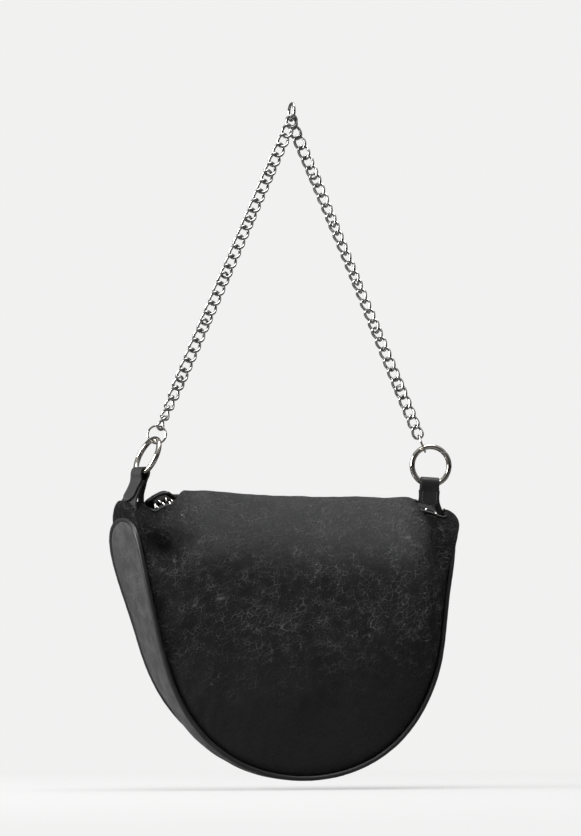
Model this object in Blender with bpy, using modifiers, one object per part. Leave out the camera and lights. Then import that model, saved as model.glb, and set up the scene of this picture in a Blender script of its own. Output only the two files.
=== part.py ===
import math

import bmesh
import bpy
from mathutils import Matrix, Vector

# Driving sizes in metres. The origin is the hook point inside the top link.
RING_INSET = 0.015
RING_DROP = 0.260
RING_RADIUS = 0.0145
RING_WIRE = 0.0040
JUMP_RADIUS = 0.00675
JUMP_WIRE = 0.0015

LINK_WIRE = 0.0022
LINK_HALF_WIDTH = 0.00375
LINK_TWIST = 0.00135
LINK_PITCH = 0.0080
RUNS_PER_SIDE = 6
FUSED_BITE = 0.0003
JOINT_PLAY = 0.0014
TOP_LINK_HALF_LENGTH = 0.0064
TOP_LINK_HALF_WIDTH = 0.0064
TOP_PLAY = 0.0014
TOP_OFFSET = 0.0019
TOP_TWIST_SHARES = (0.3, 0.4, 0.8)
VIEW_AZIMUTH_DEG = -24.0
RIGHT_ROLL_DEG = 68.0
RIGHT_ROLL_SHARE = 0.92
RING_PLAY = 0.0004

TAB_LEAN_DEG = 13.0
TAB_WIDTH = 0.016
TAB_THICK = 0.0016
TAB_LENGTH = 0.0170
TAB_LEAF = 0.0140
TAB_PLAY = 0.0006
TAB_LOOP_WIDTH = 0.0130
TAB_LOOP_LIFT = 0.0016
TAB_LIFT_SINE = -0.1
TAB_LOOP_STEPS = 10
TAB_LOOP_START_DEG = 214.0
TAB_LOOP_SWEEP_DEG = 248.0
TAB_NECK_SHARE = 1.9
TAB_END_SHARE = 0.12
TAB_ROUND_SHARE = 0.7
TAB_LEAF_GAP = 0.0004
BASE_HEIGHT = 0.0034
BASE_FLARE = 0.0016
BASE_THICK = 0.0034
ROOT_GAP = 0.0004
LEFT_TAB_AZIMUTH_DEG = -80.0
RIGHT_TAB_AZIMUTH_DEG = -8.0

HALF_LENGTH = 0.127
BAG_DEPTH = 0.188
TIP_BELOW_RING = 0.047
SIDE_TAPER_SHARE = 0.17
OUTLINE_POWER = 5.0
GUSSET_WIDTH = 0.060
TIP_POWER = 22.0
LEATHER = 0.0016
SEAM_GAP = 0.0005
PIPING = 0.0036
PANEL_BULGE = 0.017
PANEL_RISE = 0.026
BELLY_SHARE = 0.55
FULL_SHARE = 0.75
PANEL_LEAN = 0.024
END_FULLNESS_SHARE = 0.45
LINING = 0.0006
LINING_GAP = 0.0006

ZIP_BELOW_RING = 0.0331
ZIP_DROOP = 0.0075
ZIP_FLAT_INSET = 0.031
ZIP_DROOP_LENGTH = 0.016
ZIP_END_INSET = 0.022
WINDOW_HALF = 0.0055
END_SEAM_HALF = 0.0020
MITRE_SHARE = 0.60
EDGE_ABOVE_ZIP = 0.0026
TAPE_WIDTH = 0.0060
TAPE_THICK = 0.0008
TOOTH_PITCH = 0.0040
TOOTH_LENGTH = 0.0025
TOOTH_SPINE = 0.0014
TOOTH_THICK = 0.0022
TOOTH_OVERLAP = 0.0009
TOOTH_SHARE = 0.34
ZIP_GAP = 0.0003
STOP_LENGTH = 0.0020

SLIDER_INSET = 0.042
SLIDER_LENGTH = 0.0110
SLIDER_WIDTH = 0.0090
SLIDER_PLATE = 0.0011
SLIDER_FLANGE = 0.0010
BRIDGE_LENGTH = 0.0060
BRIDGE_WIDTH = 0.0014
BRIDGE_THICK = 0.0010
PULLER_THICK = 0.0010
PULLER_PLAY = 0.0004
PULLER_EYE = 0.0045
PULLER_ARM = 0.0014
PULLER_WIDTH = 0.0060
PULLER_LENGTH = 0.0240

GATE_TOP_DEG = 24.0
GATE_BOTTOM_DEG = -50.0
GATE_GAP_DEG = 1.8
GATE_SLANT = 0.95
GATE_OUTER_SHARE = 2.0
GATE_INNER_SHARE = 0.75
TONGUE_SHARE = 0.31
GATE_HEEL_DEG = 5.6
PIN_TURN_DEG = 9.3
TONGUE_THICK = 0.0013
TONGUE_REACH_DEG = 13.8
SLOT_REACH_DEG = 21.0
TONGUE_SLOT = 0.0020
PIN_RADIUS = 0.0005
PIN_PLAY = 0.0001
PIN_LENGTH_SHARE = 0.84

PANEL_COLUMNS = 38
PANEL_ROWS = 9
LINING_ROWS = 6
GUSSET_COLUMNS = 40
OUTLINE_STEPS = 400
TIP_TURN = 0.10
TIP_COLUMN_SHARES = (0.08, 0.28, 0.6)
GUSSET_SHARES = (-1.0, -0.5, 0.0, 0.5, 1.0)
LINING_TRIM = 3
ROD_SIDES = 12
PIPING_STEPS = 66
LINK_STEPS = 10
LINK_BEVEL_STEPS = 0
LEFT_LINK_TILT_DEG = 60.0
RIGHT_LINK_TILT_DEG = 0.0
RING_STEPS = 30
RING_BEVEL_STEPS = 1
TOP_LINK_STEPS = 16
LEFT_END_ROLL_DEG = -60.0


def empty_scene():
    for item in list(bpy.data.objects):
        bpy.data.objects.remove(item, do_unlink=True)
    part = bpy.data.collections.new("curb_chain_bag")
    cutters = bpy.data.collections.new("cutters")
    bpy.context.scene.collection.children.link(part)
    bpy.context.scene.collection.children.link(cutters)
    return part, cutters


def finish(name, colour, metallic, roughness):
    made = bpy.data.materials.new(name)
    made.use_nodes = True
    shader = made.node_tree.nodes["Principled BSDF"]
    shader.inputs["Base Color"].default_value = (*colour, 1.0)
    shader.inputs["Metallic"].default_value = metallic
    shader.inputs["Roughness"].default_value = roughness
    return made


LEATHER_LOOK = ((0.020, 0.020, 0.022), 0.0, 0.5)
PIPING_LOOK = ((0.014, 0.014, 0.016), 0.0, 0.45)
LINING_LOOK = ((0.050, 0.045, 0.040), 0.0, 0.9)
TAPE_LOOK = ((0.020, 0.020, 0.020), 0.0, 0.9)
NICKEL_LOOK = ((0.78, 0.77, 0.75), 1.0, 0.25)


def add_object(name, data, look):
    made = bpy.data.objects.new(name, data)
    part_collection.objects.link(made)
    data.materials.append(finish(name + "_finish", *look))
    return made


def make_cutter(made):
    part_collection.objects.unlink(made)
    cutter_collection.objects.link(made)
    made.hide_render = True
    made.display_type = "WIRE"
    return made


def combine(target, tool, operation):
    step = target.modifiers.new(tool.name, "BOOLEAN")
    step.solver = "EXACT"
    step.operation = operation
    step.object = make_cutter(tool)


# A round wire along points, as a curve with a bevel
def wire(name, points, radius, closed, bevel, look, tilt=0.0):
    data = bpy.data.curves.new(name, "CURVE")
    data.dimensions = "3D"
    data.bevel_depth = radius
    data.bevel_resolution = bevel
    data.use_fill_caps = True
    spline = data.splines.new("POLY")
    spline.points.add(len(points) - 1)
    for spot, point in zip(spline.points, points):
        spot.co = (*point, 1.0)
        spot.tilt = tilt
    spline.use_cyclic_u = closed
    spline.use_smooth = True
    return add_object(name, data, look)


# The same wire as a mesh, for pieces that are cut or joined
def wire_mesh(name, points, radius, closed, bevel, look, tilt=0.0):
    curve = wire(name + "_guide", points, radius, closed, bevel, look, tilt)
    bpy.context.view_layer.update()
    depsgraph = bpy.context.evaluated_depsgraph_get()
    mesh = bpy.data.meshes.new_from_object(curve.evaluated_get(depsgraph))
    bpy.data.objects.remove(curve, do_unlink=True)
    mesh.name = name
    mesh.materials.clear()
    made = add_object(name, mesh, look)
    mesh.shade_smooth()
    return made


def from_bmesh(name, work, look):
    mesh = bpy.data.meshes.new(name)
    bmesh.ops.recalc_face_normals(work, faces=work.faces)
    if work.calc_volume(signed=True) < 0.0:
        bmesh.ops.reverse_faces(work, faces=work.faces)
    work.to_mesh(mesh)
    work.free()
    return add_object(name, mesh, look)


# A cube whose corners are placed by a function of their three signs
def block(name, corner, look):
    work = bmesh.new()
    bmesh.ops.create_cube(work, size=2.0)
    for vert in work.verts:
        vert.co = corner(*(1.0 if value > 0.0 else -1.0 for value in vert.co))
    return from_bmesh(name, work, look)


def box(name, low, high, look):
    middle = (Vector(low) + Vector(high)) / 2.0
    half = (Vector(high) - Vector(low)) / 2.0
    return block(name, lambda x, y, z: middle + Vector((x * half.x, y * half.y, z * half.z)), look)


def rod(name, middle, axis, radius, length, look):
    work = bmesh.new()
    turn = Vector((0.0, 0.0, 1.0)).rotation_difference(axis).to_matrix().to_4x4()
    place = Matrix.Translation(middle) @ turn
    bmesh.ops.create_cone(work, cap_ends=True, segments=ROD_SIDES, radius1=radius, radius2=radius,
                          depth=length, matrix=place)
    return from_bmesh(name, work, look)


# An open surface through rows of points, thickened by Solidify
def sheet(name, grid, thickness, offset, look, smooth=True):
    columns = len(grid[0])
    faces = []
    for row in range(len(grid) - 1):
        for column in range(columns - 1):
            a = row * columns + column
            faces.append((a, a + columns, a + columns + 1, a + 1))
    mesh = bpy.data.meshes.new(name)
    mesh.from_pydata([tuple(point) for row in grid for point in row], [], faces)
    if smooth:
        mesh.shade_smooth()
    made = add_object(name, mesh, look)
    step = made.modifiers.new("thickness", "SOLIDIFY")
    step.thickness = thickness
    step.offset = offset
    step.use_even_offset = not smooth
    return made


def set_origin(made, place):
    made.data.transform(Matrix.Translation(-Vector(place)))
    made.location = place


def hang(children, parent):
    bpy.context.view_layer.update()
    for child in children:
        child.parent = parent
        child.matrix_parent_inverse = parent.matrix_world.inverted()


def pivot_empty(name, place):
    made = bpy.data.objects.new(name, None)
    part_collection.objects.link(made)
    made.location = place
    return made


# Levels and directions shared by the pieces
RING_SPAN = 2.0 * (HALF_LENGTH - RING_INSET)
ZIP_HALF = HALF_LENGTH - ZIP_END_INSET
ZIP_FLAT_HALF = HALF_LENGTH - ZIP_FLAT_INSET
SLIDER_X = HALF_LENGTH - SLIDER_INSET
RUN_START_DROP = 2.0 * TOP_LINK_HALF_LENGTH - LINK_WIRE / 2.0
RING_Z = -RUN_START_DROP - RING_DROP
TIP_Z = RING_Z - TIP_BELOW_RING
ZIP_Z = RING_Z - ZIP_BELOW_RING
RUN_LENGTH = math.hypot(RING_SPAN / 2.0, RING_DROP)
RING_BITE = (RING_WIRE + JUMP_WIRE) / 2.0 + RING_PLAY


def run_direction(side):
    return Vector((side * RING_SPAN / 2.0, 0.0, -RING_DROP)).normalized()


def ring_centre(side):
    return Vector((side * RING_SPAN / 2.0, 0.0, RING_Z))


def facing(azimuth_deg, up):
    azimuth = math.radians(azimuth_deg)
    look = Vector((math.sin(azimuth), -math.cos(azimuth), 0.0))
    return (look - up * look.dot(up)).normalized()


def smooth_step(value):
    value = min(1.0, max(0.0, value))
    return value * value * (3.0 - 2.0 * value)


# D-shaped outline of the seam, from one tip round the bottom to the other
def outline_points():
    dense = []
    fine = 3 * OUTLINE_STEPS
    for index in range(fine + 1):
        turn = math.pi * index / fine
        share = math.sin(turn) ** (2.0 / OUTLINE_POWER)
        depth = BAG_DEPTH * share
        fullness = math.sqrt(max(0.0, 1.0 - share ** OUTLINE_POWER))
        half = (HALF_LENGTH - SIDE_TAPER_SHARE * depth) * fullness
        sign = -1.0 if turn < math.pi / 2.0 else 1.0
        dense.append(Vector((sign * half, 0.0, TIP_Z - depth)))
    lengths = [0.0]
    for index in range(fine):
        lengths.append(lengths[-1] + (dense[index + 1] - dense[index]).length)
    picked = []
    at = 0
    for index in range(OUTLINE_STEPS + 1):
        wanted = lengths[-1] * index / OUTLINE_STEPS
        while at < fine - 1 and lengths[at + 1] < wanted:
            at += 1
        share = (wanted - lengths[at]) / (lengths[at + 1] - lengths[at])
        picked.append(dense[at].lerp(dense[at + 1], share))
    return picked, lengths[-1] / 2.0


def outline_at(place):
    at = (place + 1.0) / 2.0 * OUTLINE_STEPS
    low = min(int(at), OUTLINE_STEPS - 1)
    return outline[low].lerp(outline[low + 1], at - low)


def inward_at(place):
    spot = int(round((place + 1.0) / 2.0 * OUTLINE_STEPS))
    before = outline[max(spot - 1, 0)]
    after = outline[min(spot + 1, OUTLINE_STEPS)]
    along = (after - before).normalized()
    return Vector((-along.z, 0.0, along.x))


def seam_half(place):
    return (GUSSET_WIDTH / 2.0) * math.sqrt(max(0.0, 1.0 - abs(place) ** TIP_POWER))


def zip_level(x):
    return ZIP_Z - ZIP_DROOP * smooth_step((abs(x) - ZIP_FLAT_HALF) / ZIP_DROOP_LENGTH)


def window_half(x):
    closing = smooth_step((abs(x) - ZIP_HALF) / (ZIP_DROOP_LENGTH / 2.0))
    return WINDOW_HALF + (END_SEAM_HALF - WINDOW_HALF) * closing


# Places of the columns along the outline, closer together at both tips
def column_places():
    step = 2.0 / PANEL_COLUMNS
    near = [-1.0 + step * share for share in TIP_COLUMN_SHARES]
    middle = [-1.0 + step * index for index in range(1, PANEL_COLUMNS)]
    return [-1.0] + near + middle + [-place for place in reversed(near)] + [1.0]


# One side of the body: each column is a Bezier curve from the seam up to the zip
def panel_grid():
    grid = []
    clear = PIPING / 2.0 + SEAM_GAP
    for place in column_places():
        start = outline_at(place) + inward_at(place) * clear
        start.y = -seam_half(place) - END_SEAM_HALF * MITRE_SHARE
        top_x = place * (HALF_LENGTH - clear - LEATHER)
        end = Vector((top_x, -window_half(top_x), zip_level(top_x) + EDGE_ABOVE_ZIP))
        rise = Vector((end.x - start.x, 0.0, end.z - start.z))
        size = smooth_step(rise.length / (BAG_DEPTH * FULL_SHARE))
        opened = (window_half(top_x) - END_SEAM_HALF) / (WINDOW_HALF - END_SEAM_HALF)
        fullness = END_FULLNESS_SHARE + (1.0 - END_FULLNESS_SHARE) * size
        lean = PANEL_LEAN * fullness * opened
        belly = start + rise * BELLY_SHARE + Vector((0.0, -PANEL_BULGE * size, 0.0))
        ridge = end + Vector((0.0, -lean, PANEL_RISE * fullness * opened))
        column = []
        for row in range(PANEL_ROWS + 1):
            t = math.sin(math.pi / 2.0 * row / PANEL_ROWS)
            u = 1.0 - t
            point = start * u ** 3 + belly * 3.0 * u * u * t + ridge * 3.0 * u * t * t + end * t ** 3
            point.y = min(point.y, -END_SEAM_HALF)
            column.append(point)
        grid.append(column)
    return grid


def offset_grid(grid, distance):
    moved = []
    for index, column in enumerate(grid):
        line = []
        for row, point in enumerate(column):
            across = grid[min(index + 1, len(grid) - 1)][row] - grid[max(index - 1, 0)][row]
            up = column[min(row + 1, len(column) - 1)] - column[max(row - 1, 0)]
            line.append(point - across.cross(up).normalized() * distance)
        moved.append(line)
    return moved


def mirrored(points):
    return [Vector((point.x, -point.y, point.z)) for point in points]


def make_panels():
    grid = panel_grid()
    front = sheet("front_panel", grid, LEATHER, -1.0, LEATHER_LOOK)
    back = sheet("back_panel", [mirrored(column) for column in reversed(grid)], LEATHER, -1.0, LEATHER_LOOK)
    return [front, back]


def make_gusset():
    clear = PIPING / 2.0 + SEAM_GAP
    grid = []
    for index in range(GUSSET_COLUMNS + 1):
        turn = TIP_TURN + (math.pi - 2.0 * TIP_TURN) * index / GUSSET_COLUMNS
        place = -math.cos(turn)
        half = seam_half(min(1.0, abs(place) + clear / half_arc)) - clear
        if half > clear:
            base = outline_at(place) + inward_at(place) * (PIPING / 4.0)
            grid.append([base + Vector((0.0, -half * share, 0.0)) for share in GUSSET_SHARES])
    return [sheet("gusset", grid, LEATHER, -1.0, LEATHER_LOOK)]


# One cord of piping runs round the front seam, over the tip, round the back seam and home
def make_piping():
    line = []
    for index in range(PIPING_STEPS + 1):
        place = -math.cos(math.pi * index / PIPING_STEPS)
        point = outline_at(place)
        point.y = -seam_half(place)
        line.append(point)
    loop = line + mirrored(line)[-2:0:-1]
    return [wire("piping", loop, PIPING / 2.0, True, RING_BEVEL_STEPS, PIPING_LOOK)]


def make_lining():
    inside = offset_grid(panel_grid(), LEATHER + LINING_GAP)
    places = column_places()
    trimmed = len(TIP_COLUMN_SHARES) + LINING_TRIM
    grid = []
    for index in range(trimmed, len(places) - trimmed):
        column = inside[index][:LINING_ROWS + 1]
        lift = inward_at(places[index]) * (LEATHER + LINING_GAP)
        column[0] = column[0] + lift
        grid.append(list(reversed(column)) + mirrored(column))
    grid = [list(reversed(column)) for column in grid]
    return [sheet("lining", grid, LINING, -1.0, LINING_LOOK)]


def tooth_edges():
    far = TOOTH_SPINE + ZIP_GAP + TOOTH_LENGTH - TOOTH_OVERLAP
    return far, far - TOOTH_SPINE, far - TOOTH_SPINE - TOOTH_LENGTH


def make_tapes():
    near = tooth_edges()[0] + ZIP_GAP
    steps = int(round(ZIP_HALF / TOOTH_PITCH))
    made = []
    for name, side in (("zip_tape_front", -1.0), ("zip_tape_back", 1.0)):
        grid = []
        for index in range(steps + 1):
            x = -ZIP_HALF + 2.0 * ZIP_HALF * index / steps
            grid.append([Vector((x, side * reach, zip_level(x))) for reach in (near, near + TAPE_WIDTH)])
        made.append(sheet(name, grid, TAPE_THICK, 0.0, TAPE_LOOK))
    return made


# A comb of teeth on a spine, which sinks with the zip at both ends
def make_teeth():
    far, near, tip = tooth_edges()
    half = TOOTH_THICK / 2.0
    made = []
    for name, side, phase in (("zip_teeth_front", -1.0, 0.0), ("zip_teeth_back", 1.0, 0.5)):
        work = bmesh.new()
        rings = []
        for index in range(int(2.0 * ZIP_HALF / TOOTH_PITCH) - 1):
            middle = -ZIP_HALF + TOOTH_PITCH * (index + 0.5 + phase)
            for end in (-1.0, 1.0):
                x = middle + end * TOOTH_PITCH * TOOTH_SHARE / 2.0
                z = zip_level(x)
                corners = ((far, -half), (far, half), (near, half), (near, -half))
                rings.append([work.verts.new((x, side * y, z + up)) for y, up in corners])
        for before, after in zip(rings, rings[1:]):
            for step in range(4):
                following = (step + 1) % 4
                work.faces.new((before[step], after[step], after[following], before[following]))
        work.faces.new(rings[0])
        work.faces.new(rings[-1])
        bmesh.ops.recalc_face_normals(work, faces=work.faces)
        inner = [face for face in work.faces if abs(face.normal.y + side) < 0.01]
        inner.sort(key=lambda face: face.calc_center_median().x)
        crowns = bmesh.ops.extrude_discrete_faces(work, faces=inner[::2])["faces"]
        for crown in crowns:
            for vert in crown.verts:
                vert.co.y = side * tip
        made.append(from_bmesh(name, work, NICKEL_LOOK))
    return made


def make_stops():
    half = tooth_edges()[0]
    made = []
    for name, side in (("zip_stop_left", -1.0), ("zip_stop_right", 1.0)):
        x = side * (ZIP_HALF + ZIP_GAP + STOP_LENGTH / 2.0)
        z = zip_level(x)
        low = (x - STOP_LENGTH / 2.0, -half, z - TOOTH_THICK / 2.0)
        high = (x + STOP_LENGTH / 2.0, half, z + TOOTH_THICK / 2.0)
        made.append(box(name, low, high, NICKEL_LOOK))
    return made


# Slider: a channel over the teeth with a bridge on it, and a plate under them
def make_slider():
    floor = ZIP_Z + TOOTH_THICK / 2.0 + ZIP_GAP
    roof = floor + SLIDER_PLATE
    half_x = SLIDER_LENGTH / 2.0
    half_y = SLIDER_WIDTH / 2.0
    flange_z = ZIP_Z + TAPE_THICK / 2.0 + ZIP_GAP
    inner_y = half_y - SLIDER_FLANGE
    slider = box("zip_slider", (SLIDER_X - half_x, -half_y, flange_z), (SLIDER_X + half_x, half_y, roof),
                 NICKEL_LOOK)
    channel = box("slider_channel", (SLIDER_X - SLIDER_LENGTH, -inner_y, flange_z - SLIDER_PLATE),
                  (SLIDER_X + SLIDER_LENGTH, inner_y, floor), NICKEL_LOOK)
    combine(slider, channel, "DIFFERENCE")
    under = roof + PULLER_THICK + 2.0 * PULLER_PLAY
    half_bridge = BRIDGE_LENGTH / 2.0
    bridge = box("slider_bridge", (SLIDER_X - half_bridge, -BRIDGE_WIDTH / 2.0, roof - SLIDER_PLATE / 2.0),
                 (SLIDER_X + half_bridge, BRIDGE_WIDTH / 2.0, under + BRIDGE_THICK), NICKEL_LOOK)
    combine(slider, bridge, "UNION")
    arch = half_bridge - BRIDGE_THICK
    opening = box("bridge_opening", (SLIDER_X - arch, -BRIDGE_WIDTH, roof), (SLIDER_X + arch, BRIDGE_WIDTH, under),
                  NICKEL_LOOK)
    combine(slider, opening, "DIFFERENCE")
    low = ZIP_Z - TOOTH_THICK / 2.0 - ZIP_GAP
    base = box("zip_slider_base", (SLIDER_X - half_x, -half_y, low - SLIDER_PLATE),
               (SLIDER_X + half_x, half_y, low), NICKEL_LOOK)
    pivot = Vector((SLIDER_X, 0.0, roof + PULLER_PLAY + PULLER_THICK / 2.0))
    near = PULLER_THICK / 2.0
    puller = box("zip_puller", (SLIDER_X - PULLER_LENGTH, -PULLER_WIDTH / 2.0, pivot.z - near),
                 (SLIDER_X + near, PULLER_WIDTH / 2.0, pivot.z + near), NICKEL_LOOK)
    eye_half = PULLER_WIDTH / 2.0 - PULLER_ARM
    eye = box("puller_eye", (SLIDER_X - PULLER_EYE, -eye_half, pivot.z - PULLER_THICK),
              (SLIDER_X - near, eye_half, pivot.z + PULLER_THICK), NICKEL_LOOK)
    combine(puller, eye, "DIFFERENCE")
    set_origin(puller, pivot)
    set_origin(slider, (SLIDER_X, 0.0, ZIP_Z))
    hang([base, puller], slider)
    return [slider]


# Frame at the ring's lowest wire: X across the tab, -Y its face, Z up the pull
def tab_frame(side, azimuth_deg):
    ring_face = facing(azimuth_deg, -run_direction(side))
    lean = math.radians(TAB_LEAN_DEG)
    up = Vector((-side * math.sin(lean), 0.0, math.cos(lean)))
    pull = (up - ring_face * up.dot(ring_face)).normalized()
    face = facing(azimuth_deg, up)
    across = (-face).cross(up)
    frame = Matrix((across, -face, up)).transposed().to_4x4()
    frame.translation = ring_centre(side) - pull * RING_RADIUS
    return frame


# A leather strip folded over the ring, with a rounded front leaf and a flared foot
def make_tab(word, side, azimuth_deg):
    frame = tab_frame(side, azimuth_deg)
    half = TAB_WIDTH / 2.0
    radius = RING_WIRE / 2.0 + TAB_PLAY + TAB_THICK / 2.0
    leaf = (TAB_THICK + TAB_LEAF_GAP) / 2.0
    neck = -radius * TAB_NECK_SHARE
    stations = []
    for share in (0.0, 0.35, 0.7, 1.0):
        width = half * math.sqrt(max(TAB_END_SHARE, 1.0 - (1.0 - share) ** 2))
        stations.append((-leaf, -TAB_LEAF + half * share * TAB_ROUND_SHARE, width))
    stations.append((-leaf, neck, half))
    for step in range(TAB_LOOP_STEPS + 1):
        turn = math.radians(TAB_LOOP_START_DEG - TAB_LOOP_SWEEP_DEG * step / TAB_LOOP_STEPS)
        lift = TAB_LOOP_LIFT if math.sin(turn) > TAB_LIFT_SINE else 0.0
        stations.append((radius * math.cos(turn), radius * math.sin(turn) + lift, TAB_LOOP_WIDTH / 2.0))
    stations.append((leaf, neck, half))
    stations.append((leaf, -TAB_LENGTH, half))
    grid = [[frame @ Vector((end * width, y, z)) for end in (-1.0, 1.0)] for y, z, width in stations]
    tab = sheet("tab_" + word, grid, TAB_THICK, 0.0, LEATHER_LOOK, smooth=False)
    top = -TAB_LENGTH - ROOT_GAP

    def corner(x, y, z):
        width = half + (BASE_FLARE if z < 0.0 else 0.0)
        level = top - (BASE_HEIGHT if z < 0.0 else 0.0)
        return frame @ Vector((x * width, y * BASE_THICK / 2.0, level))

    return [tab, block("tab_base_" + word, corner, LEATHER_LOOK)]


def ring_frame(side, azimuth_deg):
    up = -run_direction(side)
    face = facing(azimuth_deg, up)
    return ring_centre(side), (-face).cross(up), up, face


def circle(centre, right, up, radius, steps):
    turns = [2.0 * math.pi * index / steps for index in range(steps)]
    return [centre + (right * math.cos(turn) + up * math.sin(turn)) * radius for turn in turns]


def gate_pin_place(side, azimuth_deg):
    centre, right, up, face = ring_frame(side, azimuth_deg)
    turn = math.radians(GATE_BOTTOM_DEG + PIN_TURN_DEG)
    return centre + (right * math.cos(turn) + up * math.sin(turn)) * RING_RADIUS


# Spring-gate ring: a ring with a slanted gap and a tongue, the gate that fills it, and its pin
def make_ring(word, side, azimuth_deg):
    centre, right, up, face = ring_frame(side, azimuth_deg)

    def sector(name, low_deg, high_deg, depth, outer, inner, slant):
        def corner(x, y, z):
            turn = math.radians(high_deg if x > 0.0 else low_deg)
            out = right * math.cos(turn) + up * math.sin(turn)
            along = up * math.cos(turn) - right * math.sin(turn)
            reach = outer if y > 0.0 else -inner
            drift = -slant * reach if x > 0.0 else 0.0
            return centre + out * (RING_RADIUS + reach) + along * drift + face * (z * depth / 2.0)
        return block(name, corner, NICKEL_LOOK)

    outer = RING_WIRE * GATE_OUTER_SHARE
    inner = RING_WIRE * GATE_INNER_SHARE
    ring = wire_mesh("ring_" + word, circle(centre, right, up, RING_RADIUS, RING_STEPS), RING_WIRE / 2.0, True,
                     RING_BEVEL_STEPS, NICKEL_LOOK)
    gate = wire_mesh("gate_" + word, circle(centre, right, up, RING_RADIUS, RING_STEPS), RING_WIRE / 2.0, True,
                     RING_BEVEL_STEPS, NICKEL_LOOK)
    wide = 2.0 * RING_WIRE
    gap = sector("gap_" + word, GATE_BOTTOM_DEG, GATE_TOP_DEG, wide, outer, inner, GATE_SLANT)
    combine(ring, gap, "DIFFERENCE")
    tongue_half = RING_WIRE * TONGUE_SHARE
    tongue = sector("tongue_" + word, GATE_BOTTOM_DEG - GATE_HEEL_DEG, GATE_BOTTOM_DEG + TONGUE_REACH_DEG,
                    TONGUE_THICK, tongue_half, tongue_half, 0.0)
    combine(ring, tongue, "UNION")
    kept = sector("gate_span_" + word, GATE_BOTTOM_DEG + GATE_HEEL_DEG, GATE_TOP_DEG - GATE_GAP_DEG, wide,
                  outer, inner, GATE_SLANT)
    combine(gate, kept, "INTERSECT")
    slot = sector("slot_" + word, GATE_BOTTOM_DEG - GATE_HEEL_DEG, GATE_BOTTOM_DEG + SLOT_REACH_DEG,
                  TONGUE_SLOT, RING_WIRE, RING_WIRE, 0.0)
    combine(gate, slot, "DIFFERENCE")
    pin_place = gate_pin_place(side, azimuth_deg)
    for target in (ring, gate):
        hole = rod("hole_" + target.name, pin_place, face, PIN_RADIUS + PIN_PLAY, wide, NICKEL_LOOK)
        combine(target, hole, "DIFFERENCE")
    pin = rod("gate_pin_" + word, pin_place, face, PIN_RADIUS, RING_WIRE * PIN_LENGTH_SHARE, NICKEL_LOOK)
    set_origin(gate, pin_place)
    set_origin(ring, centre)
    hang([pin, gate], ring)
    return [ring]


def jump_centre(side):
    return ring_centre(side) - run_direction(side) * (RING_RADIUS + JUMP_RADIUS - RING_BITE)


def make_jump_ring(word, side, normal):
    up = -run_direction(side)
    across = normal.cross(up).normalized()
    points = circle(jump_centre(side), across, up, JUMP_RADIUS, RING_STEPS - 10)
    return wire("jump_ring_" + word, points, JUMP_WIRE / 2.0, True, RING_BEVEL_STEPS, NICKEL_LOOK)


def link_points(centre, along, width, normal, half_length, half_width, twist, steps):
    points = []
    for step in range(steps):
        turn = 2.0 * math.pi * step / steps
        point = along * (half_length * math.cos(turn)) + width * (half_width * math.sin(turn))
        points.append(centre + point + normal * (twist * math.sin(2.0 * turn)))
    return points


# Links of one side, laid end to end between the top link and the jump ring
def link_layout():
    above = LINK_WIRE + TOP_PLAY
    last = RUN_LENGTH - RING_RADIUS - 2.0 * JUMP_RADIUS + RING_BITE
    reach = last + (JUMP_WIRE + LINK_WIRE) / 2.0 + RING_PLAY + above
    count = max(RUNS_PER_SIDE, round(reach / LINK_PITCH))
    starts = [math.ceil(run * count / RUNS_PER_SIDE) for run in range(RUNS_PER_SIDE + 1)]
    tight = LINK_WIRE - FUSED_BITE
    loose = LINK_WIRE + JOINT_PLAY
    half_length = (reach + (count - RUNS_PER_SIDE) * tight + (RUNS_PER_SIDE - 1) * loose) / (2.0 * count)
    places = []
    at = half_length - above
    for index in range(count):
        places.append(at)
        at += 2.0 * half_length - (loose if index + 1 in starts else tight)
    return half_length, places, starts


def run_of(index, starts):
    return sum(1 for start in starts[1:-1] if index >= start)


# The chain turns edge-on part of the way down the right side, and at the left end
def link_roll(side, index, starts):
    if side > 0.0:
        share = (index - run_of(index, starts)) / (starts[-1] - RUNS_PER_SIDE)
        return math.radians(RIGHT_ROLL_DEG) * math.sin(math.pi * share ** RIGHT_ROLL_SHARE)
    share = (index + 1 - starts[-2]) / (starts[-1] - starts[-2])
    return math.radians(LEFT_END_ROLL_DEG) * max(0.0, share)


def run_joints(side):
    half_length, places, starts = link_layout()
    top = Vector((0.0, 0.0, -RUN_START_DROP))
    along = run_direction(side)
    first = top + along * (places[0] - half_length)
    joints = [Vector((0.0, 0.0, (first.z + top.z) / 2.0))]
    for start in starts[1:-1]:
        end = top + along * (places[start - 1] + half_length)
        following = top + along * (places[start] - half_length)
        joints.append((end + following) / 2.0)
    end = top + along * (places[-1] + half_length)
    jump_top = jump_centre(side) - along * JUMP_RADIUS
    joints.append((end + jump_top) / 2.0)
    return joints


def bag_joint(side):
    along = run_direction(side)
    return ring_centre(side) - along * (RING_RADIUS - RING_BITE / 2.0)


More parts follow.
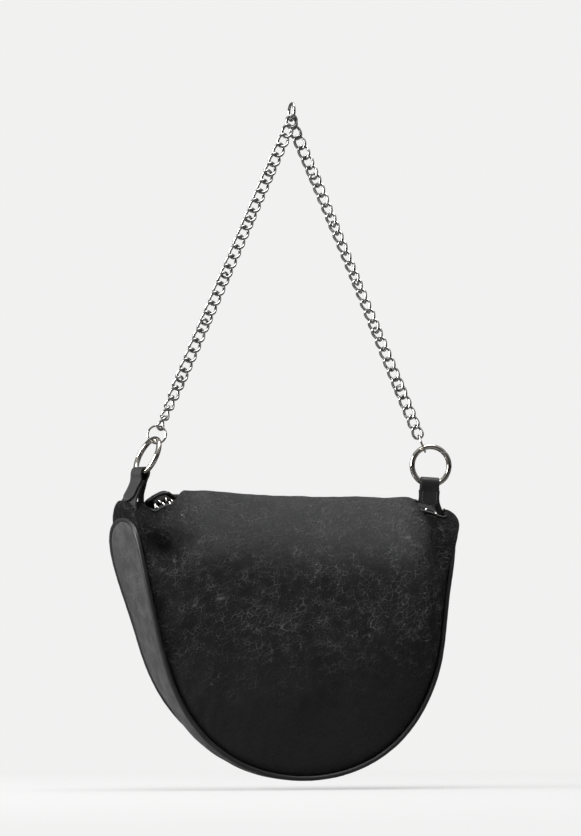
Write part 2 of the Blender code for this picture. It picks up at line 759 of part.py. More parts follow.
def make_run(word, side):
    half_length, places, starts = link_layout()
    along = run_direction(side)
    first_end = places[starts[1] - 1] + half_length
    start = Vector((0.0, 0.0, -RUN_START_DROP))
    flat = Vector((0.0, 1.0, 0.0))
    across = flat.cross(along).normalized()
    tilt = math.radians(LEFT_LINK_TILT_DEG if side < 0.0 else RIGHT_LINK_TILT_DEG)
    runs = []
    for index, place in enumerate(places):
        aside = side * TOP_OFFSET * max(0.0, 1.0 - place / first_end)
        centre = start + along * place + flat * aside
        roll = link_roll(side, index, starts)
        width = across * math.cos(roll) + flat * math.sin(roll)
        normal = flat * math.cos(roll) - across * math.sin(roll)
        twist = LINK_TWIST * (TOP_TWIST_SHARES[index] if index < len(TOP_TWIST_SHARES) else 1.0)
        points = link_points(centre, along, width, normal, half_length, LINK_HALF_WIDTH, twist, LINK_STEPS)
        if index in starts:
            name = "chain_" + word + "_" + str(run_of(index, starts) + 1)
            runs.append(wire_mesh(name, points, LINK_WIRE / 2.0, True, LINK_BEVEL_STEPS, NICKEL_LOOK, tilt))
        else:
            name = "link_" + word + "_" + str(index + 1)
            link = wire_mesh(name, points, LINK_WIRE / 2.0, True, LINK_BEVEL_STEPS, NICKEL_LOOK, tilt)
            combine(runs[-1], link, "UNION")
    return runs


def make_top_link():
    centre = Vector((0.0, 0.0, LINK_WIRE / 2.0 - TOP_LINK_HALF_LENGTH))
    down = Vector((0.0, 0.0, -1.0))
    front = Vector((0.0, -1.0, 0.0))
    points = link_points(centre, down, front, down.cross(front), TOP_LINK_HALF_LENGTH, TOP_LINK_HALF_WIDTH,
                         0.0, TOP_LINK_STEPS)
    return wire("apex_link", points, LINK_WIRE / 2.0, True, RING_BEVEL_STEPS, NICKEL_LOOK)


def main():
    bag = make_panels() + make_gusset() + make_piping() + make_lining()
    bag += make_tapes() + make_teeth() + make_stops() + make_slider()
    bag += make_tab("left", -1.0, LEFT_TAB_AZIMUTH_DEG) + make_tab("right", 1.0, RIGHT_TAB_AZIMUTH_DEG)
    bag += make_ring("left", -1.0, LEFT_TAB_AZIMUTH_DEG) + make_ring("right", 1.0, RIGHT_TAB_AZIMUTH_DEG)
    swing = pivot_empty("bag_swing", bag_joint(-1.0))
    hang(bag, swing)
    top_link = make_top_link()
    for word, side in (("left", -1.0), ("right", 1.0)):
        along = run_direction(side)
        view = facing(VIEW_AZIMUTH_DEG, along)
        jump = make_jump_ring(word, side, view if side < 0.0 else view.cross(along))
        joints = run_joints(side)
        above = top_link
        for piece, joint in zip(make_run(word, side) + [jump], joints):
            set_origin(piece, joint)
            hang([piece], above)
            above = piece
        if side < 0.0:
            hang([swing], above)


part_collection, cutter_collection = empty_scene()
outline, half_arc = outline_points()
main()
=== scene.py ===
import math

import bmesh
import bpy
from mathutils import Matrix, Vector, noise


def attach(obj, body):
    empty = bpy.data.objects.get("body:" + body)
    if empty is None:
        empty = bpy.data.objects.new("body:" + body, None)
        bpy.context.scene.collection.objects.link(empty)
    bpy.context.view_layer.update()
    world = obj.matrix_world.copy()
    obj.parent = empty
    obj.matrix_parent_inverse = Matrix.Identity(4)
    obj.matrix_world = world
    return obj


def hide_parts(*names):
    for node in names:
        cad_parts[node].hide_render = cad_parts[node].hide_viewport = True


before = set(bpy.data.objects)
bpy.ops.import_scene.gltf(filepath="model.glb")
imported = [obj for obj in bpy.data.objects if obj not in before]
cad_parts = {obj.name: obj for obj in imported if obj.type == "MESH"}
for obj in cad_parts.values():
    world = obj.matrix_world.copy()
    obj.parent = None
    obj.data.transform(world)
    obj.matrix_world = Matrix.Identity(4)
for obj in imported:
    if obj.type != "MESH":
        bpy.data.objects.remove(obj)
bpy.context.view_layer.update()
print("frame loaded:", len(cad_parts), "nodes")

# sizes of the frame that the pieces follow, in metres, and those of the soft body's corners
bag = {
    "halfLength": 0.127, "depth": 0.188, "tipZ": -0.3187, "taper": 0.17, "outlinePower": 5.0,
    "gussetWidth": 0.060, "tipPower": 22.0, "leather": 0.0016, "piping": 0.0036, "endSeam": 0.0003,
    "bulge": 0.017, "rise": 0.026, "belly": 0.55, "full": 0.75, "lean": 0.024, "endFullness": 0.45,
    "turnedFrom": 0.42, "turnedLength": 0.20, "turnedOut": 0.006, "frontLow": 0.88, "backLow": 0.35,
    "swellFrom": 0.86, "swellLength": 0.14, "bellyOut": 0.0058, "ridgeOut": 0.0042, "swellUp": 0.0020,
}
zipper = {
    "z": -0.3048, "droop": 0.0075, "flatHalf": 0.096, "droopLength": 0.016, "half": 0.105,
    "windowHalf": 0.0055, "edgeAbove": 0.0026, "pitch": 0.0021,
    "rollFrom": 0.0865, "rollLength": 0.010, "rollBack": 0.108, "rollBackLength": 0.009,
    "rollDeg": 58.0, "rightRollDeg": 44.0, "rollForward": 0.0030,
    "shoulder": 0.0048, "shoulderFrom": 0.104, "shoulderLength": 0.012,
    "shoulderOut": 0.0036, "outFrom": 0.112, "outLength": 0.010, "rightShare": 0.25,
    "pastFrom": 0.093, "pastTo": 0.1085, "pastLength": 0.015,
    "rightOut": 0.0095, "rightForward": 0.0075, "rightDrop": 0.0010,
}
hardware = {
    "span": 0.224, "ringZ": -0.2717, "ringDrop": 0.260, "ringRadius": 0.0145, "ringWire": 0.0040,
    "jumpRadius": 0.00675, "jumpWire": 0.0015, "play": 0.0004,
    "leftAzimuth": -80.0, "rightAzimuth": -8.0, "viewAzimuth": -24.0,
}
sides = (("Left", -1.0), ("Right", 1.0))


# small helpers for meshes
def smoothStep(value):
    value = min(1.0, max(0.0, value))
    return value * value * (3.0 - 2.0 * value)


def addPiece(name, data):
    piece = bpy.data.objects.new(name, data)
    bpy.context.scene.collection.objects.link(piece)
    return piece


def meshPiece(name, work):
    mesh = bpy.data.meshes.new(name)
    work.to_mesh(mesh)
    work.free()
    mesh.shade_smooth()
    return addPiece(name, mesh)


def faceOutward(work):
    bmesh.ops.recalc_face_normals(work, faces=work.faces)
    if work.calc_volume(signed=True) < 0.0:
        bmesh.ops.reverse_faces(work, faces=work.faces)


def gridPiece(name, grid):
    work = bmesh.new()
    rows = [[work.verts.new(point) for point in row] for row in grid]
    for before, after in zip(rows, rows[1:]):
        for index in range(len(before) - 1):
            work.faces.new((before[index], after[index], after[index + 1], before[index + 1]))
    return meshPiece(name, work)


def joinPieces(name, parts):
    whole = bmesh.new()
    for part in parts:
        whole.from_mesh(part.data)
        bpy.data.objects.remove(part, do_unlink=True)
    return meshPiece(name, whole)


def thicken(piece, thickness, offset=-1.0):
    step = piece.modifiers.new("thickness", "SOLIDIFY")
    step.thickness = thickness
    step.offset = offset
    step.use_even_offset = False


def roundEdges(piece, width, angleDeg):
    step = piece.modifiers.new("edges", "BEVEL")
    step.width = width
    step.segments = 2
    step.limit_method = "ANGLE"
    step.angle_limit = math.radians(angleDeg)


def settle(piece):
    # turns the evaluated piece, with its modifiers, into a plain mesh
    bpy.context.view_layer.update()
    depsgraph = bpy.context.evaluated_depsgraph_get()
    mesh = bpy.data.meshes.new_from_object(piece.evaluated_get(depsgraph))
    mesh.name = piece.name
    piece.modifiers.clear()
    piece.data = mesh
    return piece


def tubePiece(name, points, radius, closed, corners=16):
    # a round wire on a frame that is carried along the path without twist
    count = len(points)
    rings = []
    across = None
    for index, point in enumerate(points):
        before = points[index - 1] if closed or index > 0 else points[index]
        after = points[(index + 1) % count] if closed or index < count - 1 else points[index]
        along = (after - before).normalized()
        if across is None:
            across = along.orthogonal().normalized()
        across = (across - along * across.dot(along)).normalized()
        rings.append(circlePoints(point, across, along.cross(across), radius, corners))
    work = bmesh.new()
    loops = [[work.verts.new(point) for point in ring] for ring in rings]
    shift = 0
    if closed:
        # the last ring is joined to the first at the nearest corner
        shift = min(range(corners), key=lambda step: (rings[-1][0] - rings[0][step]).length)
    for index in range(count if closed else count - 1):
        before = loops[index]
        after = loops[(index + 1) % count]
        turn = shift if closed and index == count - 1 else 0
        for corner in range(corners):
            following = (corner + 1) % corners
            work.faces.new((before[corner], before[following], after[(following + turn) % corners],
                            after[(corner + turn) % corners]))
    if not closed:
        work.faces.new(list(reversed(loops[0])))
        work.faces.new(loops[-1])
    faceOutward(work)
    return meshPiece(name, work)


def circlePoints(centre, right, up, radius, steps):
    turns = [2.0 * math.pi * index / steps for index in range(steps)]
    return [centre + (right * math.cos(turn) + up * math.sin(turn)) * radius for turn in turns]


# small helpers for nodes
def feed(tree, node, inputs):
    # a socket is linked, and anything else becomes the input's own value
    for label, value in inputs.items():
        if isinstance(value, bpy.types.NodeSocket):
            tree.links.new(value, node.inputs[label])
        else:
            node.inputs[label].default_value = value


def makeNode(tree, kind, inputs=None, **settings):
    node = tree.nodes.new(kind)
    for key, value in settings.items():
        setattr(node, key, value)
    feed(tree, node, inputs or {})
    return node


def mathNode(tree, operation, *values, clamp=False):
    return makeNode(tree, "ShaderNodeMath", dict(enumerate(values)), operation=operation, use_clamp=clamp).outputs[0]


def spanNode(tree, value, low, high, bottom=0.0, top=1.0, kind="LINEAR"):
    return makeNode(tree, "ShaderNodeMapRange", {
        "Value": value, "From Min": low, "From Max": high, "To Min": bottom, "To Max": top,
    }, interpolation_type=kind).outputs[0]


def mixNode(tree, factor, first, second, kind="MIX"):
    inputs = {"Factor": factor, "A": first, "B": second}
    return makeNode(tree, "ShaderNodeMix", inputs, data_type="RGBA", blend_type=kind).outputs["Result"]


def rampNode(tree, factor, stops):
    ramp = makeNode(tree, "ShaderNodeValToRGB", {"Fac": factor})
    elements = ramp.color_ramp.elements
    elements[0].position, elements[0].color = stops[0]
    elements[1].position, elements[1].color = stops[-1]
    for position, colour in stops[1:-1]:
        elements.new(position).color = colour
    return ramp.outputs["Color"]


def noiseNode(tree, place, scale, detail, roughness=0.5):
    return makeNode(tree, "ShaderNodeTexNoise", {
        "Vector": place, "Scale": scale, "Detail": detail, "Roughness": roughness})


def bumpNode(tree, height, strength, distance):
    return makeNode(tree, "ShaderNodeBump", {
        "Height": height, "Strength": strength, "Distance": distance}).outputs[0]


def solid(colour):
    return (*colour, 1.0)


def grey(level):
    return (level, level, level, 1.0)


def startGroup(name, kind, inputs, outputs):
    tree = bpy.data.node_groups.new(name, kind)
    for way, sockets in (("INPUT", inputs), ("OUTPUT", outputs)):
        for label, socketKind in sockets:
            tree.interface.new_socket(label, in_out=way, socket_type="NodeSocket" + socketKind)
    return tree, makeNode(tree, "NodeGroupInput").outputs, makeNode(tree, "NodeGroupOutput")


# shader groups
crinkle = {
    # place, noise scale and shift of the warp, and how far the pattern is drawn out along the slant
    "bent": (70.0, 0.008, (1.3, 1.0, 0.9)), "slanted": (90.0, 0.007, (1.9, 1.0, 0.9)), "slant": -0.7,
    # size against the long creases, sharpness, and the noise mask: scale, detail, low, high, bottom and top
    "long": (1.0, 10.0, (95.0, 3.0, 0.40, 0.64, 0.30, 1.0)),
    "short": (1.9, 7.0, (150.0, 3.0, 0.38, 0.64, 0.36, 0.90)),
    "tiny": (3.6, 4.0, (60.0, 4.0, 0.40, 0.62, 0.22, 0.50)),
    "pebbleGain": 1.6, "pebbleShare": 0.12, "roughScale": 440.0, "roughShare": 1.8,
}


def ridgeMask(tree, place, scale, sharpness):
    # light, thin lines along the borders of uneven cells
    cells = makeNode(tree, "ShaderNodeTexVoronoi", {"Scale": scale, "Vector": place}, feature="DISTANCE_TO_EDGE")
    near = mathNode(tree, "MULTIPLY", cells.outputs["Distance"], sharpness, clamp=True)
    return mathNode(tree, "POWER", mathNode(tree, "SUBTRACT", 1.0, near), 2.0)


def noiseMask(tree, place, scale, detail, low, high, bottom, top):
    cloud = noiseNode(tree, place, scale, detail).outputs["Fac"]
    return spanNode(tree, cloud, low, high, bottom, top), cloud


def warpedPlace(tree, place, scale, amount, stretch):
    # bends the pattern, so that no straight cell border is left, and draws it out along a slant
    warp = noiseNode(tree, place, scale, 4.0, 0.6).outputs["Color"]
    shift = makeNode(tree, "ShaderNodeVectorMath", {0: warp, 1: (amount, amount, amount), 2: place},
                     operation="MULTIPLY_ADD")
    return makeNode(tree, "ShaderNodeMapping", {
        "Vector": shift.outputs[0], "Rotation": (0.0, crinkle["slant"], 0.0), "Scale": stretch,
    }, vector_type="TEXTURE").outputs[0]


def crinkleGroup():
    # pebbles, a net of fine creases and broken longer ones, as on crinkled leather
    tree, source, out = startGroup(
        "crinkledGrain", "ShaderNodeTree",
        (("Vector", "Vector"), ("Pebble Scale", "Float"), ("Crease Scale", "Float"), ("Crease", "Float")),
        (("Height", "Float"), ("Lines", "Float"), ("Patches", "Float")))
    place = source["Vector"]
    bent = warpedPlace(tree, place, *crinkle["bent"])
    slanted = warpedPlace(tree, place, *crinkle["slanted"])
    lines = None
    patches = None
    for word, ridgePlace, maskPlace in (("long", slanted, place), ("short", bent, bent), ("tiny", bent, place)):
        share, sharpness, mask = crinkle[word]
        scale = mathNode(tree, "MULTIPLY", source["Crease Scale"], share)
        cover, cloud = noiseMask(tree, maskPlace, *mask)
        found = mathNode(tree, "MULTIPLY", ridgeMask(tree, ridgePlace, scale, sharpness), cover)
        lines = found if lines is None else mathNode(tree, "MAXIMUM", lines, found)
        patches = cloud if patches is None else patches
    lines = mathNode(tree, "MULTIPLY", lines, source["Crease"])
    pebble = makeNode(tree, "ShaderNodeTexVoronoi", {"Scale": source["Pebble Scale"], "Vector": bent},
                      feature="DISTANCE_TO_EDGE")
    pebbleHeight = mathNode(tree, "MULTIPLY", pebble.outputs["Distance"], crinkle["pebbleGain"], clamp=True)
    crumple = noiseNode(tree, bent, crinkle["roughScale"], 5.0, 0.62).outputs["Fac"]
    rough = mathNode(tree, "MULTIPLY", crumple, source["Crease"])
    height = mathNode(tree, "ADD", mathNode(tree, "MULTIPLY", pebbleHeight, crinkle["pebbleShare"]),
                      mathNode(tree, "ADD", lines, mathNode(tree, "MULTIPLY", rough, crinkle["roughShare"])))
    feed(tree, out, {"Height": height, "Lines": lines, "Patches": patches})
    return tree


def wearGroup():
    # soft mottling and hairline scratches for plated metal
    tree, source, out = startGroup("platedWear", "ShaderNodeTree", (("Vector", "Vector"), ("Scratch Scale", "Float")),
                                   (("Height", "Float"), ("Dull", "Float")))
    stretch = makeNode(tree, "ShaderNodeVectorMath", {0: source["Vector"], 1: (1.0, 1.0, 0.12)},
                       operation="MULTIPLY")
    scratch = noiseNode(tree, stretch.outputs[0], source["Scratch Scale"], 2.0)
    dull = noiseNode(tree, source["Vector"], 160.0, 3.0)
    feed(tree, out, {"Height": scratch.outputs["Fac"], "Dull": dull.outputs["Fac"]})
    return tree


crinkledGrain = crinkleGroup()
platedWear = wearGroup()


def newMaterial(name):
    made = bpy.data.materials.new(name)
    made.use_nodes = True
    tree = made.node_tree
    place = makeNode(tree, "ShaderNodeTexCoord").outputs["Object"]
    return made, tree, tree.nodes["Principled BSDF"], place


def leatherMaterial(name, finish):
    made, tree, shader, place = newMaterial(name)
    grain = makeNode(tree, "ShaderNodeGroup", node_tree=crinkledGrain)
    feed(tree, grain, {"Vector": place, "Pebble Scale": finish["pebble"], "Crease Scale": finish["crease"],
                       "Crease": finish["creaseAmount"]})
    patches = grain.outputs["Patches"]
    lines = mathNode(tree, "MULTIPLY", grain.outputs["Lines"], 0.8)
    ground = rampNode(tree, patches, ((0.35, solid(finish["dark"])), (0.68, solid(finish["light"]))))
    relief = finish["bump"]
    creaseFadeAndSheen = finish.get("creaseFadeAndSheen")
    if creaseFadeAndSheen:
        # the creases thin out towards the bottom
        spot = makeNode(tree, "ShaderNodeSeparateXYZ", {0: place})
        fade = spanNode(tree, spot.outputs[2], creaseFadeAndSheen["fadeFrom"], creaseFadeAndSheen["fadeTo"], creaseFadeAndSheen["faded"])
        lines = mathNode(tree, "MULTIPLY", lines, fade)
        relief = mathNode(tree, "MULTIPLY", fade, relief)
        ground = mixNode(tree, mathNode(tree, "SUBTRACT", 1.0, fade), ground, solid(creaseFadeAndSheen["smooth"]))
    # the creases are painted paler, a painted highlight along their crests
    colour = mixNode(tree, lines, ground, solid(finish["line"]))
    if creaseFadeAndSheen:
        # and the ridge gets a painted highlight: its colour is painted paler where the top light falls, but for its
        # ends
        sheenMask = spanNode(tree, spot.outputs[2], creaseFadeAndSheen["sheenFrom"], creaseFadeAndSheen["sheenTo"], kind="SMOOTHSTEP")
        away = mathNode(tree, "ABSOLUTE", spot.outputs[0])
        inner = spanNode(tree, away, creaseFadeAndSheen["sheenEnd"], creaseFadeAndSheen["sheenEnd"] + creaseFadeAndSheen["sheenFade"], 1.0, 0.0, "SMOOTHSTEP")
        colour = mixNode(tree, mathNode(tree, "MULTIPLY", sheenMask, inner), colour, solid(creaseFadeAndSheen["paintedSheen"]), "ADD")
    # the sides of a crease lie in shade, and its crest shines
    cavity = finish.get("cavity", ((0.0, 0.34), (1.0, 0.34)))
    feed(tree, shader, {
        "Base Color": colour,
        "Roughness": spanNode(tree, patches, 0.3, 0.7, finish["roughness"] + 0.06, finish["roughness"] - 0.06),
        "Normal": bumpNode(tree, grain.outputs["Height"], relief, finish["bumpDistance"]),
        "Specular IOR Level": rampNode(tree, lines, [(position, grey(shine)) for position, shine in cavity]),
    })
    return made


def metalMaterial(name, finish):
    made, tree, shader, place = newMaterial(name)
    wear = makeNode(tree, "ShaderNodeGroup", node_tree=platedWear)
    feed(tree, wear, {"Vector": place, "Scratch Scale": finish["scratch"]})
    dull = wear.outputs["Dull"]
    feed(tree, shader, {
        "Base Color": mixNode(tree, dull, solid(finish["bright"]), solid(finish["deep"])),
        "Metallic": 1.0,
        "Roughness": spanNode(tree, dull, 0.35, 0.65, finish["roughness"] - 0.03, finish["roughness"] + 0.05),
        "Normal": bumpNode(tree, wear.outputs["Height"], finish["bump"], 0.00005),
    })
    return made


def wavesMaterial(name, finish):
    # two crossed waves make a plain weave, and one slanting wave a twisted thread
    made, tree, shader, place = newMaterial(name)
    waves = [makeNode(tree, "ShaderNodeTexWave", {"Scale": finish["scale"], "Vector": place}, wave_type="BANDS",
                      bands_direction=direction).outputs["Fac"] for direction in finish["directions"]]
    weave = waves[0] if len(waves) == 1 else mathNode(tree, "MULTIPLY", *waves)
    feed(tree, shader, {
        "Base Color": mixNode(tree, weave, solid(finish["dark"]), solid(finish["light"])),
        "Roughness": finish["roughness"],
        "Normal": bumpNode(tree, weave, finish["bump"], finish["bumpDistance"]),
    })
    return made


# the panels' leather is painted darker than the gusset's, painted shade on the faces the key light misses
panelLeatherPaintedShade = leatherMaterial("panelLeatherPaintedShade", {
    "dark": (0.0020, 0.0020, 0.0021), "light": (0.0034, 0.0034, 0.0035), "line": (0.048, 0.048, 0.049),
    "pebble": 900.0, "crease": 235.0, "creaseAmount": 1.0, "roughness": 0.41, "bump": 1.0, "bumpDistance": 0.0023,
    "cavity": ((0.0, 0.20), (0.08, 0.04), (0.30, 0.08), (0.60, 0.66)),
    # the creases fade towards the bottom, and the ridge's paler colour is a painted highlight
    "creaseFadeAndSheen": {"fadeFrom": -0.478, "fadeTo": -0.398, "faded": 0.22, "smooth": (0.0140, 0.0140, 0.0143),
             "sheenFrom": -0.366, "sheenTo": -0.322, "sheenEnd": 0.072, "sheenFade": 0.035, "paintedSheen": (0.060, 0.060, 0.061)},
})
# the same leather on the gusset is painted lighter, painted light on the side the key light faces
gussetLeatherPaintedLit = leatherMaterial("gussetLeatherPaintedLit", {
    "dark": (0.0200, 0.0200, 0.0206), "light": (0.0380, 0.0380, 0.0388), "line": (0.085, 0.085, 0.086),
    "pebble": 950.0, "crease": 85.0, "creaseAmount": 0.5, "roughness": 0.48, "bump": 0.6, "bumpDistance": 0.0004,
})
pipingLeather = leatherMaterial("pipingLeather", {
    "dark": (0.0075, 0.0075, 0.0078), "light": (0.0135, 0.0135, 0.0140), "line": (0.030, 0.030, 0.031),
    "pebble": 1200.0, "crease": 260.0, "creaseAmount": 0.4, "roughness": 0.42, "bump": 0.4, "bumpDistance": 0.0003,
})
tabLeather = leatherMaterial("tabLeather", {
    "dark": (0.0080, 0.0080, 0.0083), "light": (0.0140, 0.0140, 0.0145), "line": (0.034, 0.034, 0.035),
    "pebble": 1300.0, "crease": 240.0, "creaseAmount": 0.35, "roughness": 0.47, "bump": 0.45, "bumpDistance": 0.0003,
})
ringNickel = metalMaterial("ringNickel", {
    "bright": (0.50, 0.477, 0.44), "deep": (0.37, 0.352, 0.32), "roughness": 0.08, "scratch": 900.0, "bump": 0.12,
})
chainSilver = metalMaterial("chainSilver", {
    "bright": (0.45, 0.446, 0.442), "deep": (0.34, 0.336, 0.332), "roughness": 0.10, "scratch": 1500.0, "bump": 0.2,
})
zipNickel = metalMaterial("zipNickel", {
    "bright": (0.72, 0.70, 0.67), "deep": (0.55, 0.53, 0.50), "roughness": 0.22, "scratch": 1800.0, "bump": 0.25,
})
tapeCloth = wavesMaterial("tapeCloth", {
    "directions": ("X", "Y"), "scale": 480.0, "dark": (0.006, 0.006, 0.006), "light": (0.022, 0.022, 0.022),
    "roughness": 0.85, "bump": 0.6, "bumpDistance": 0.0002,
})
liningCloth = wavesMaterial("liningCloth", {
    "directions": ("X", "Y"), "scale": 330.0, "dark": (0.035, 0.032, 0.028), "light": (0.085, 0.078, 0.070),
    "roughness": 0.85, "bump": 0.6, "bumpDistance": 0.0002,
})
# black thread painted paler than the leather: its own dark colour plus a painted highlight along the stitches
blackThreadPaintedHighlight = wavesMaterial("blackThreadPaintedHighlight", {
    "directions": ("DIAGONAL",), "scale": 700.0, "dark": (0.042, 0.042, 0.0432), "light": (0.070, 0.070, 0.072),
    "roughness": 0.6, "bump": 1.0, "bumpDistance": 0.0001,
})
print("finishes made")


# geometry node trees for what repeats
def startTree(name, labels):
    inputs = [("Geometry", "Geometry")] + [(label, "Float") for label in labels] + [("Material", "Material")]
    return startGroup(name, "GeometryNodeTree", inputs, (("Geometry", "Geometry"),))


def endTree(tree, source, out, points, instance, rotation):
    spread = makeNode(tree, "GeometryNodeInstanceOnPoints", {
        "Points": points, "Instance": instance, "Rotation": rotation})
    real = makeNode(tree, "GeometryNodeRealizeInstances", {0: spread.outputs[0]})
    smooth = makeNode(tree, "GeometryNodeSetShadeSmooth", {"Geometry": real.outputs[0]})
    painted = makeNode(tree, "GeometryNodeSetMaterial", {
        "Geometry": smooth.outputs[0], "Material": source["Material"]})
    feed(tree, out, {0: painted.outputs[0]})
    return tree


def turnAttribute(tree):
    stored = makeNode(tree, "GeometryNodeInputNamedAttribute", data_type="FLOAT_VECTOR")
    stored.inputs["Name"].default_value = "turn"
    return makeNode(tree, "FunctionNodeEulerToRotation", {0: stored.outputs["Attribute"]}).outputs[0]


def curbLinkTree():
    # a unit circle is stretched to an oval and twisted: z follows the product of x and y
    tree, source, out = startTree("curbLinks", ("Half Length", "Half Width", "Twist", "Wire"))
    circle = makeNode(tree, "GeometryNodeCurvePrimitiveCircle", {"Resolution": 36, "Radius": 1.0})
    place = makeNode(tree, "GeometryNodeInputPosition")
    split = makeNode(tree, "ShaderNodeSeparateXYZ", {0: place.outputs[0]}).outputs
    product = mathNode(tree, "MULTIPLY", mathNode(tree, "MULTIPLY", split[0], split[1]), 2.0)
    joined = makeNode(tree, "ShaderNodeCombineXYZ", {
        0: mathNode(tree, "MULTIPLY", split[0], source["Half Length"]),
        1: mathNode(tree, "MULTIPLY", split[1], source["Half Width"]),
        2: mathNode(tree, "MULTIPLY", product, source["Twist"])})
    move = makeNode(tree, "GeometryNodeSetPosition", {
        "Geometry": circle.outputs["Curve"], "Position": joined.outputs[0]})
    profile = makeNode(tree, "GeometryNodeCurvePrimitiveCircle", {
        "Resolution": 12, "Radius": mathNode(tree, "MULTIPLY", source["Wire"], 0.5)})
    wire = makeNode(tree, "GeometryNodeCurveToMesh", {
        "Curve": move.outputs[0], "Profile Curve": profile.outputs["Curve"]})
    return endTree(tree, source, out, source["Geometry"], wire.outputs[0], turnAttribute(tree))


def toothTree():
    tree, source, out = startTree("zipTeethRow", ("Length", "Width", "Height"))
    size = makeNode(tree, "ShaderNodeCombineXYZ", {0: source["Width"], 1: source["Length"], 2: source["Height"]})
    block = makeNode(tree, "GeometryNodeMeshCube", {
        "Vertices X": 3, "Vertices Y": 3, "Vertices Z": 3, "Size": size.outputs[0]})
    soft = makeNode(tree, "GeometryNodeSubdivisionSurface", {"Level": 1, "Mesh": block.outputs["Mesh"]})
    return endTree(tree, source, out, source["Geometry"], soft.outputs[0], turnAttribute(tree))


def stitchTree():
    # one stitch lies along the seam at each resampled point
    tree, source, out = startTree("stitchRun", ("Spacing", "Length", "Thread"))
    path = makeNode(tree, "GeometryNodeMeshToCurve", {"Mesh": source["Geometry"]})
    even = makeNode(tree, "GeometryNodeResampleCurve", {"Curve": path.outputs[0], "Length": source["Spacing"]},
                    mode="LENGTH")
    ball = makeNode(tree, "GeometryNodeMeshUVSphere", {"Segments": 8, "Rings": 6, "Radius": 0.5})
    size = makeNode(tree, "ShaderNodeCombineXYZ", {0: source["Length"], 1: source["Thread"], 2: source["Thread"]})
    stitch = makeNode(tree, "GeometryNodeTransform", {"Geometry": ball.outputs["Mesh"], "Scale": size.outputs[0]})
    tangent = makeNode(tree, "GeometryNodeInputTangent")
    aim = makeNode(tree, "FunctionNodeAlignRotationToVector", {"Vector": tangent.outputs[0]}, axis="X")
    return endTree(tree, source, out, even.outputs[0], stitch.outputs[0], aim.outputs[0])


curbLinks = curbLinkTree()
zipTeethRow = toothTree()
stitchRun = stitchTree()


def grow(piece, tree, values):
    step = piece.modifiers.new(tree.name, "NODES")
    step.node_group = tree
    for item in tree.interface.items_tree:
        if item.in_out == "INPUT" and item.name in values:
            step[item.identifier] = values[item.name]
    return settle(piece)


def pointsPiece(name, points, turns):
    mesh = bpy.data.meshes.new(name)
    mesh.from_pydata([tuple(point) for point in points], [], [])
    stored = mesh.attributes.new("turn", "FLOAT_VECTOR", "POINT")
    for value, turn in zip(stored.data, turns):
        value.vector = turn
    return addPiece(name, mesh)


def stitches(name, paths, spacing=0.0028, length=0.0021, thread=0.00055):
    points = []
    edges = []
    for path in paths:
        edges += [(len(points) + index, len(points) + index + 1) for index in range(len(path) - 1)]
        points += [tuple(point) for point in path]
    mesh = bpy.data.meshes.new(name)
    mesh.from_pydata(points, edges, [])
    return grow(addPiece(name, mesh), stitchRun, {
        "Spacing": spacing, "Length": length, "Thread": thread, "Material": blackThreadPaintedHighlight})


# the body's lines, as the frame has them
def outlineTable(count=1200):
    dense = []
    for index in range(count + 1):
        turn = math.pi * index / count
        share = math.sin(turn) ** (2.0 / bag["outlinePower"])
        depth = bag["depth"] * share
        fullness = math.sqrt(max(0.0, 1.0 - share ** bag["outlinePower"]))
        half = (bag["halfLength"] - bag["taper"] * depth) * fullness
        dense.append(Vector(((-half if turn < math.pi / 2.0 else half), 0.0, bag["tipZ"] - depth)))
    lengths = [0.0]
    for before, after in zip(dense, dense[1:]):
        lengths.append(lengths[-1] + (after - before).length)
    even = []
    at = 0
    for index in range(count + 1):
        wanted = lengths[-1] * index / count
        while at < count - 1 and lengths[at + 1] < wanted:
            at += 1
        share = (wanted - lengths[at]) / (lengths[at + 1] - lengths[at])
        even.append(dense[at].lerp(dense[at + 1], share))
    return even, lengths[-1] / 2.0


outline, halfArc = outlineTable()


def outlineAt(place):
    at = (place + 1.0) / 2.0 * (len(outline) - 1)
    low = min(int(at), len(outline) - 2)
    return outline[low].lerp(outline[low + 1], at - low)


def inwardAt(place):
    spot = int(round((place + 1.0) / 2.0 * (len(outline) - 1)))
    along = (outline[min(spot + 3, len(outline) - 1)] - outline[max(spot - 3, 0)]).normalized()
    return Vector((-along.z, 0.0, along.x))


def seamHalf(place):
    return bag["gussetWidth"] / 2.0 * math.sqrt(max(0.0, 1.0 - abs(place) ** bag["tipPower"]))


def zipLevel(x):
    return zipper["z"] - zipper["droop"] * smoothStep((abs(x) - zipper["flatHalf"]) / zipper["droopLength"])


def windowHalf(x):
    closing = smoothStep((abs(x) - zipper["half"]) / (zipper["droopLength"] / 2.0))
    return zipper["windowHalf"] + (bag["endSeam"] - zipper["windowHalf"]) * closing


def endRoll(x):
    # near both ends the zip tips forward, so that its teeth face the front
    tip = smoothStep((abs(x) - zipper["rollFrom"]) / zipper["rollLength"])
    return tip * (1.0 - smoothStep((abs(x) - zipper["rollBack"]) / zipper["rollBackLength"]))


def zipFrame(x):
    tip = endRoll(x)
    roll = math.radians(zipper["rollDeg"] if x < 0.0 else zipper["rightRollDeg"]) * tip
    # the right end runs on down the corner, in front of the tab
    past = smoothStep((x - zipper["pastFrom"]) / zipper["pastLength"]) \
        * (1.0 - smoothStep((x - zipper["pastTo"]) / zipper["pastLength"]))
    middle = Vector((x + zipper["rightOut"] * past, -zipper["rollForward"] * tip - zipper["rightForward"] * past,
                     zipLevel(x) - zipper["rightDrop"] * past))
    return middle, Vector((0.0, -math.cos(roll), -math.sin(roll))), Vector((0.0, -math.sin(roll), math.cos(roll)))


def zipAlong(x):
    return (zipFrame(x + 0.0005)[0] - zipFrame(x - 0.0005)[0]).normalized()


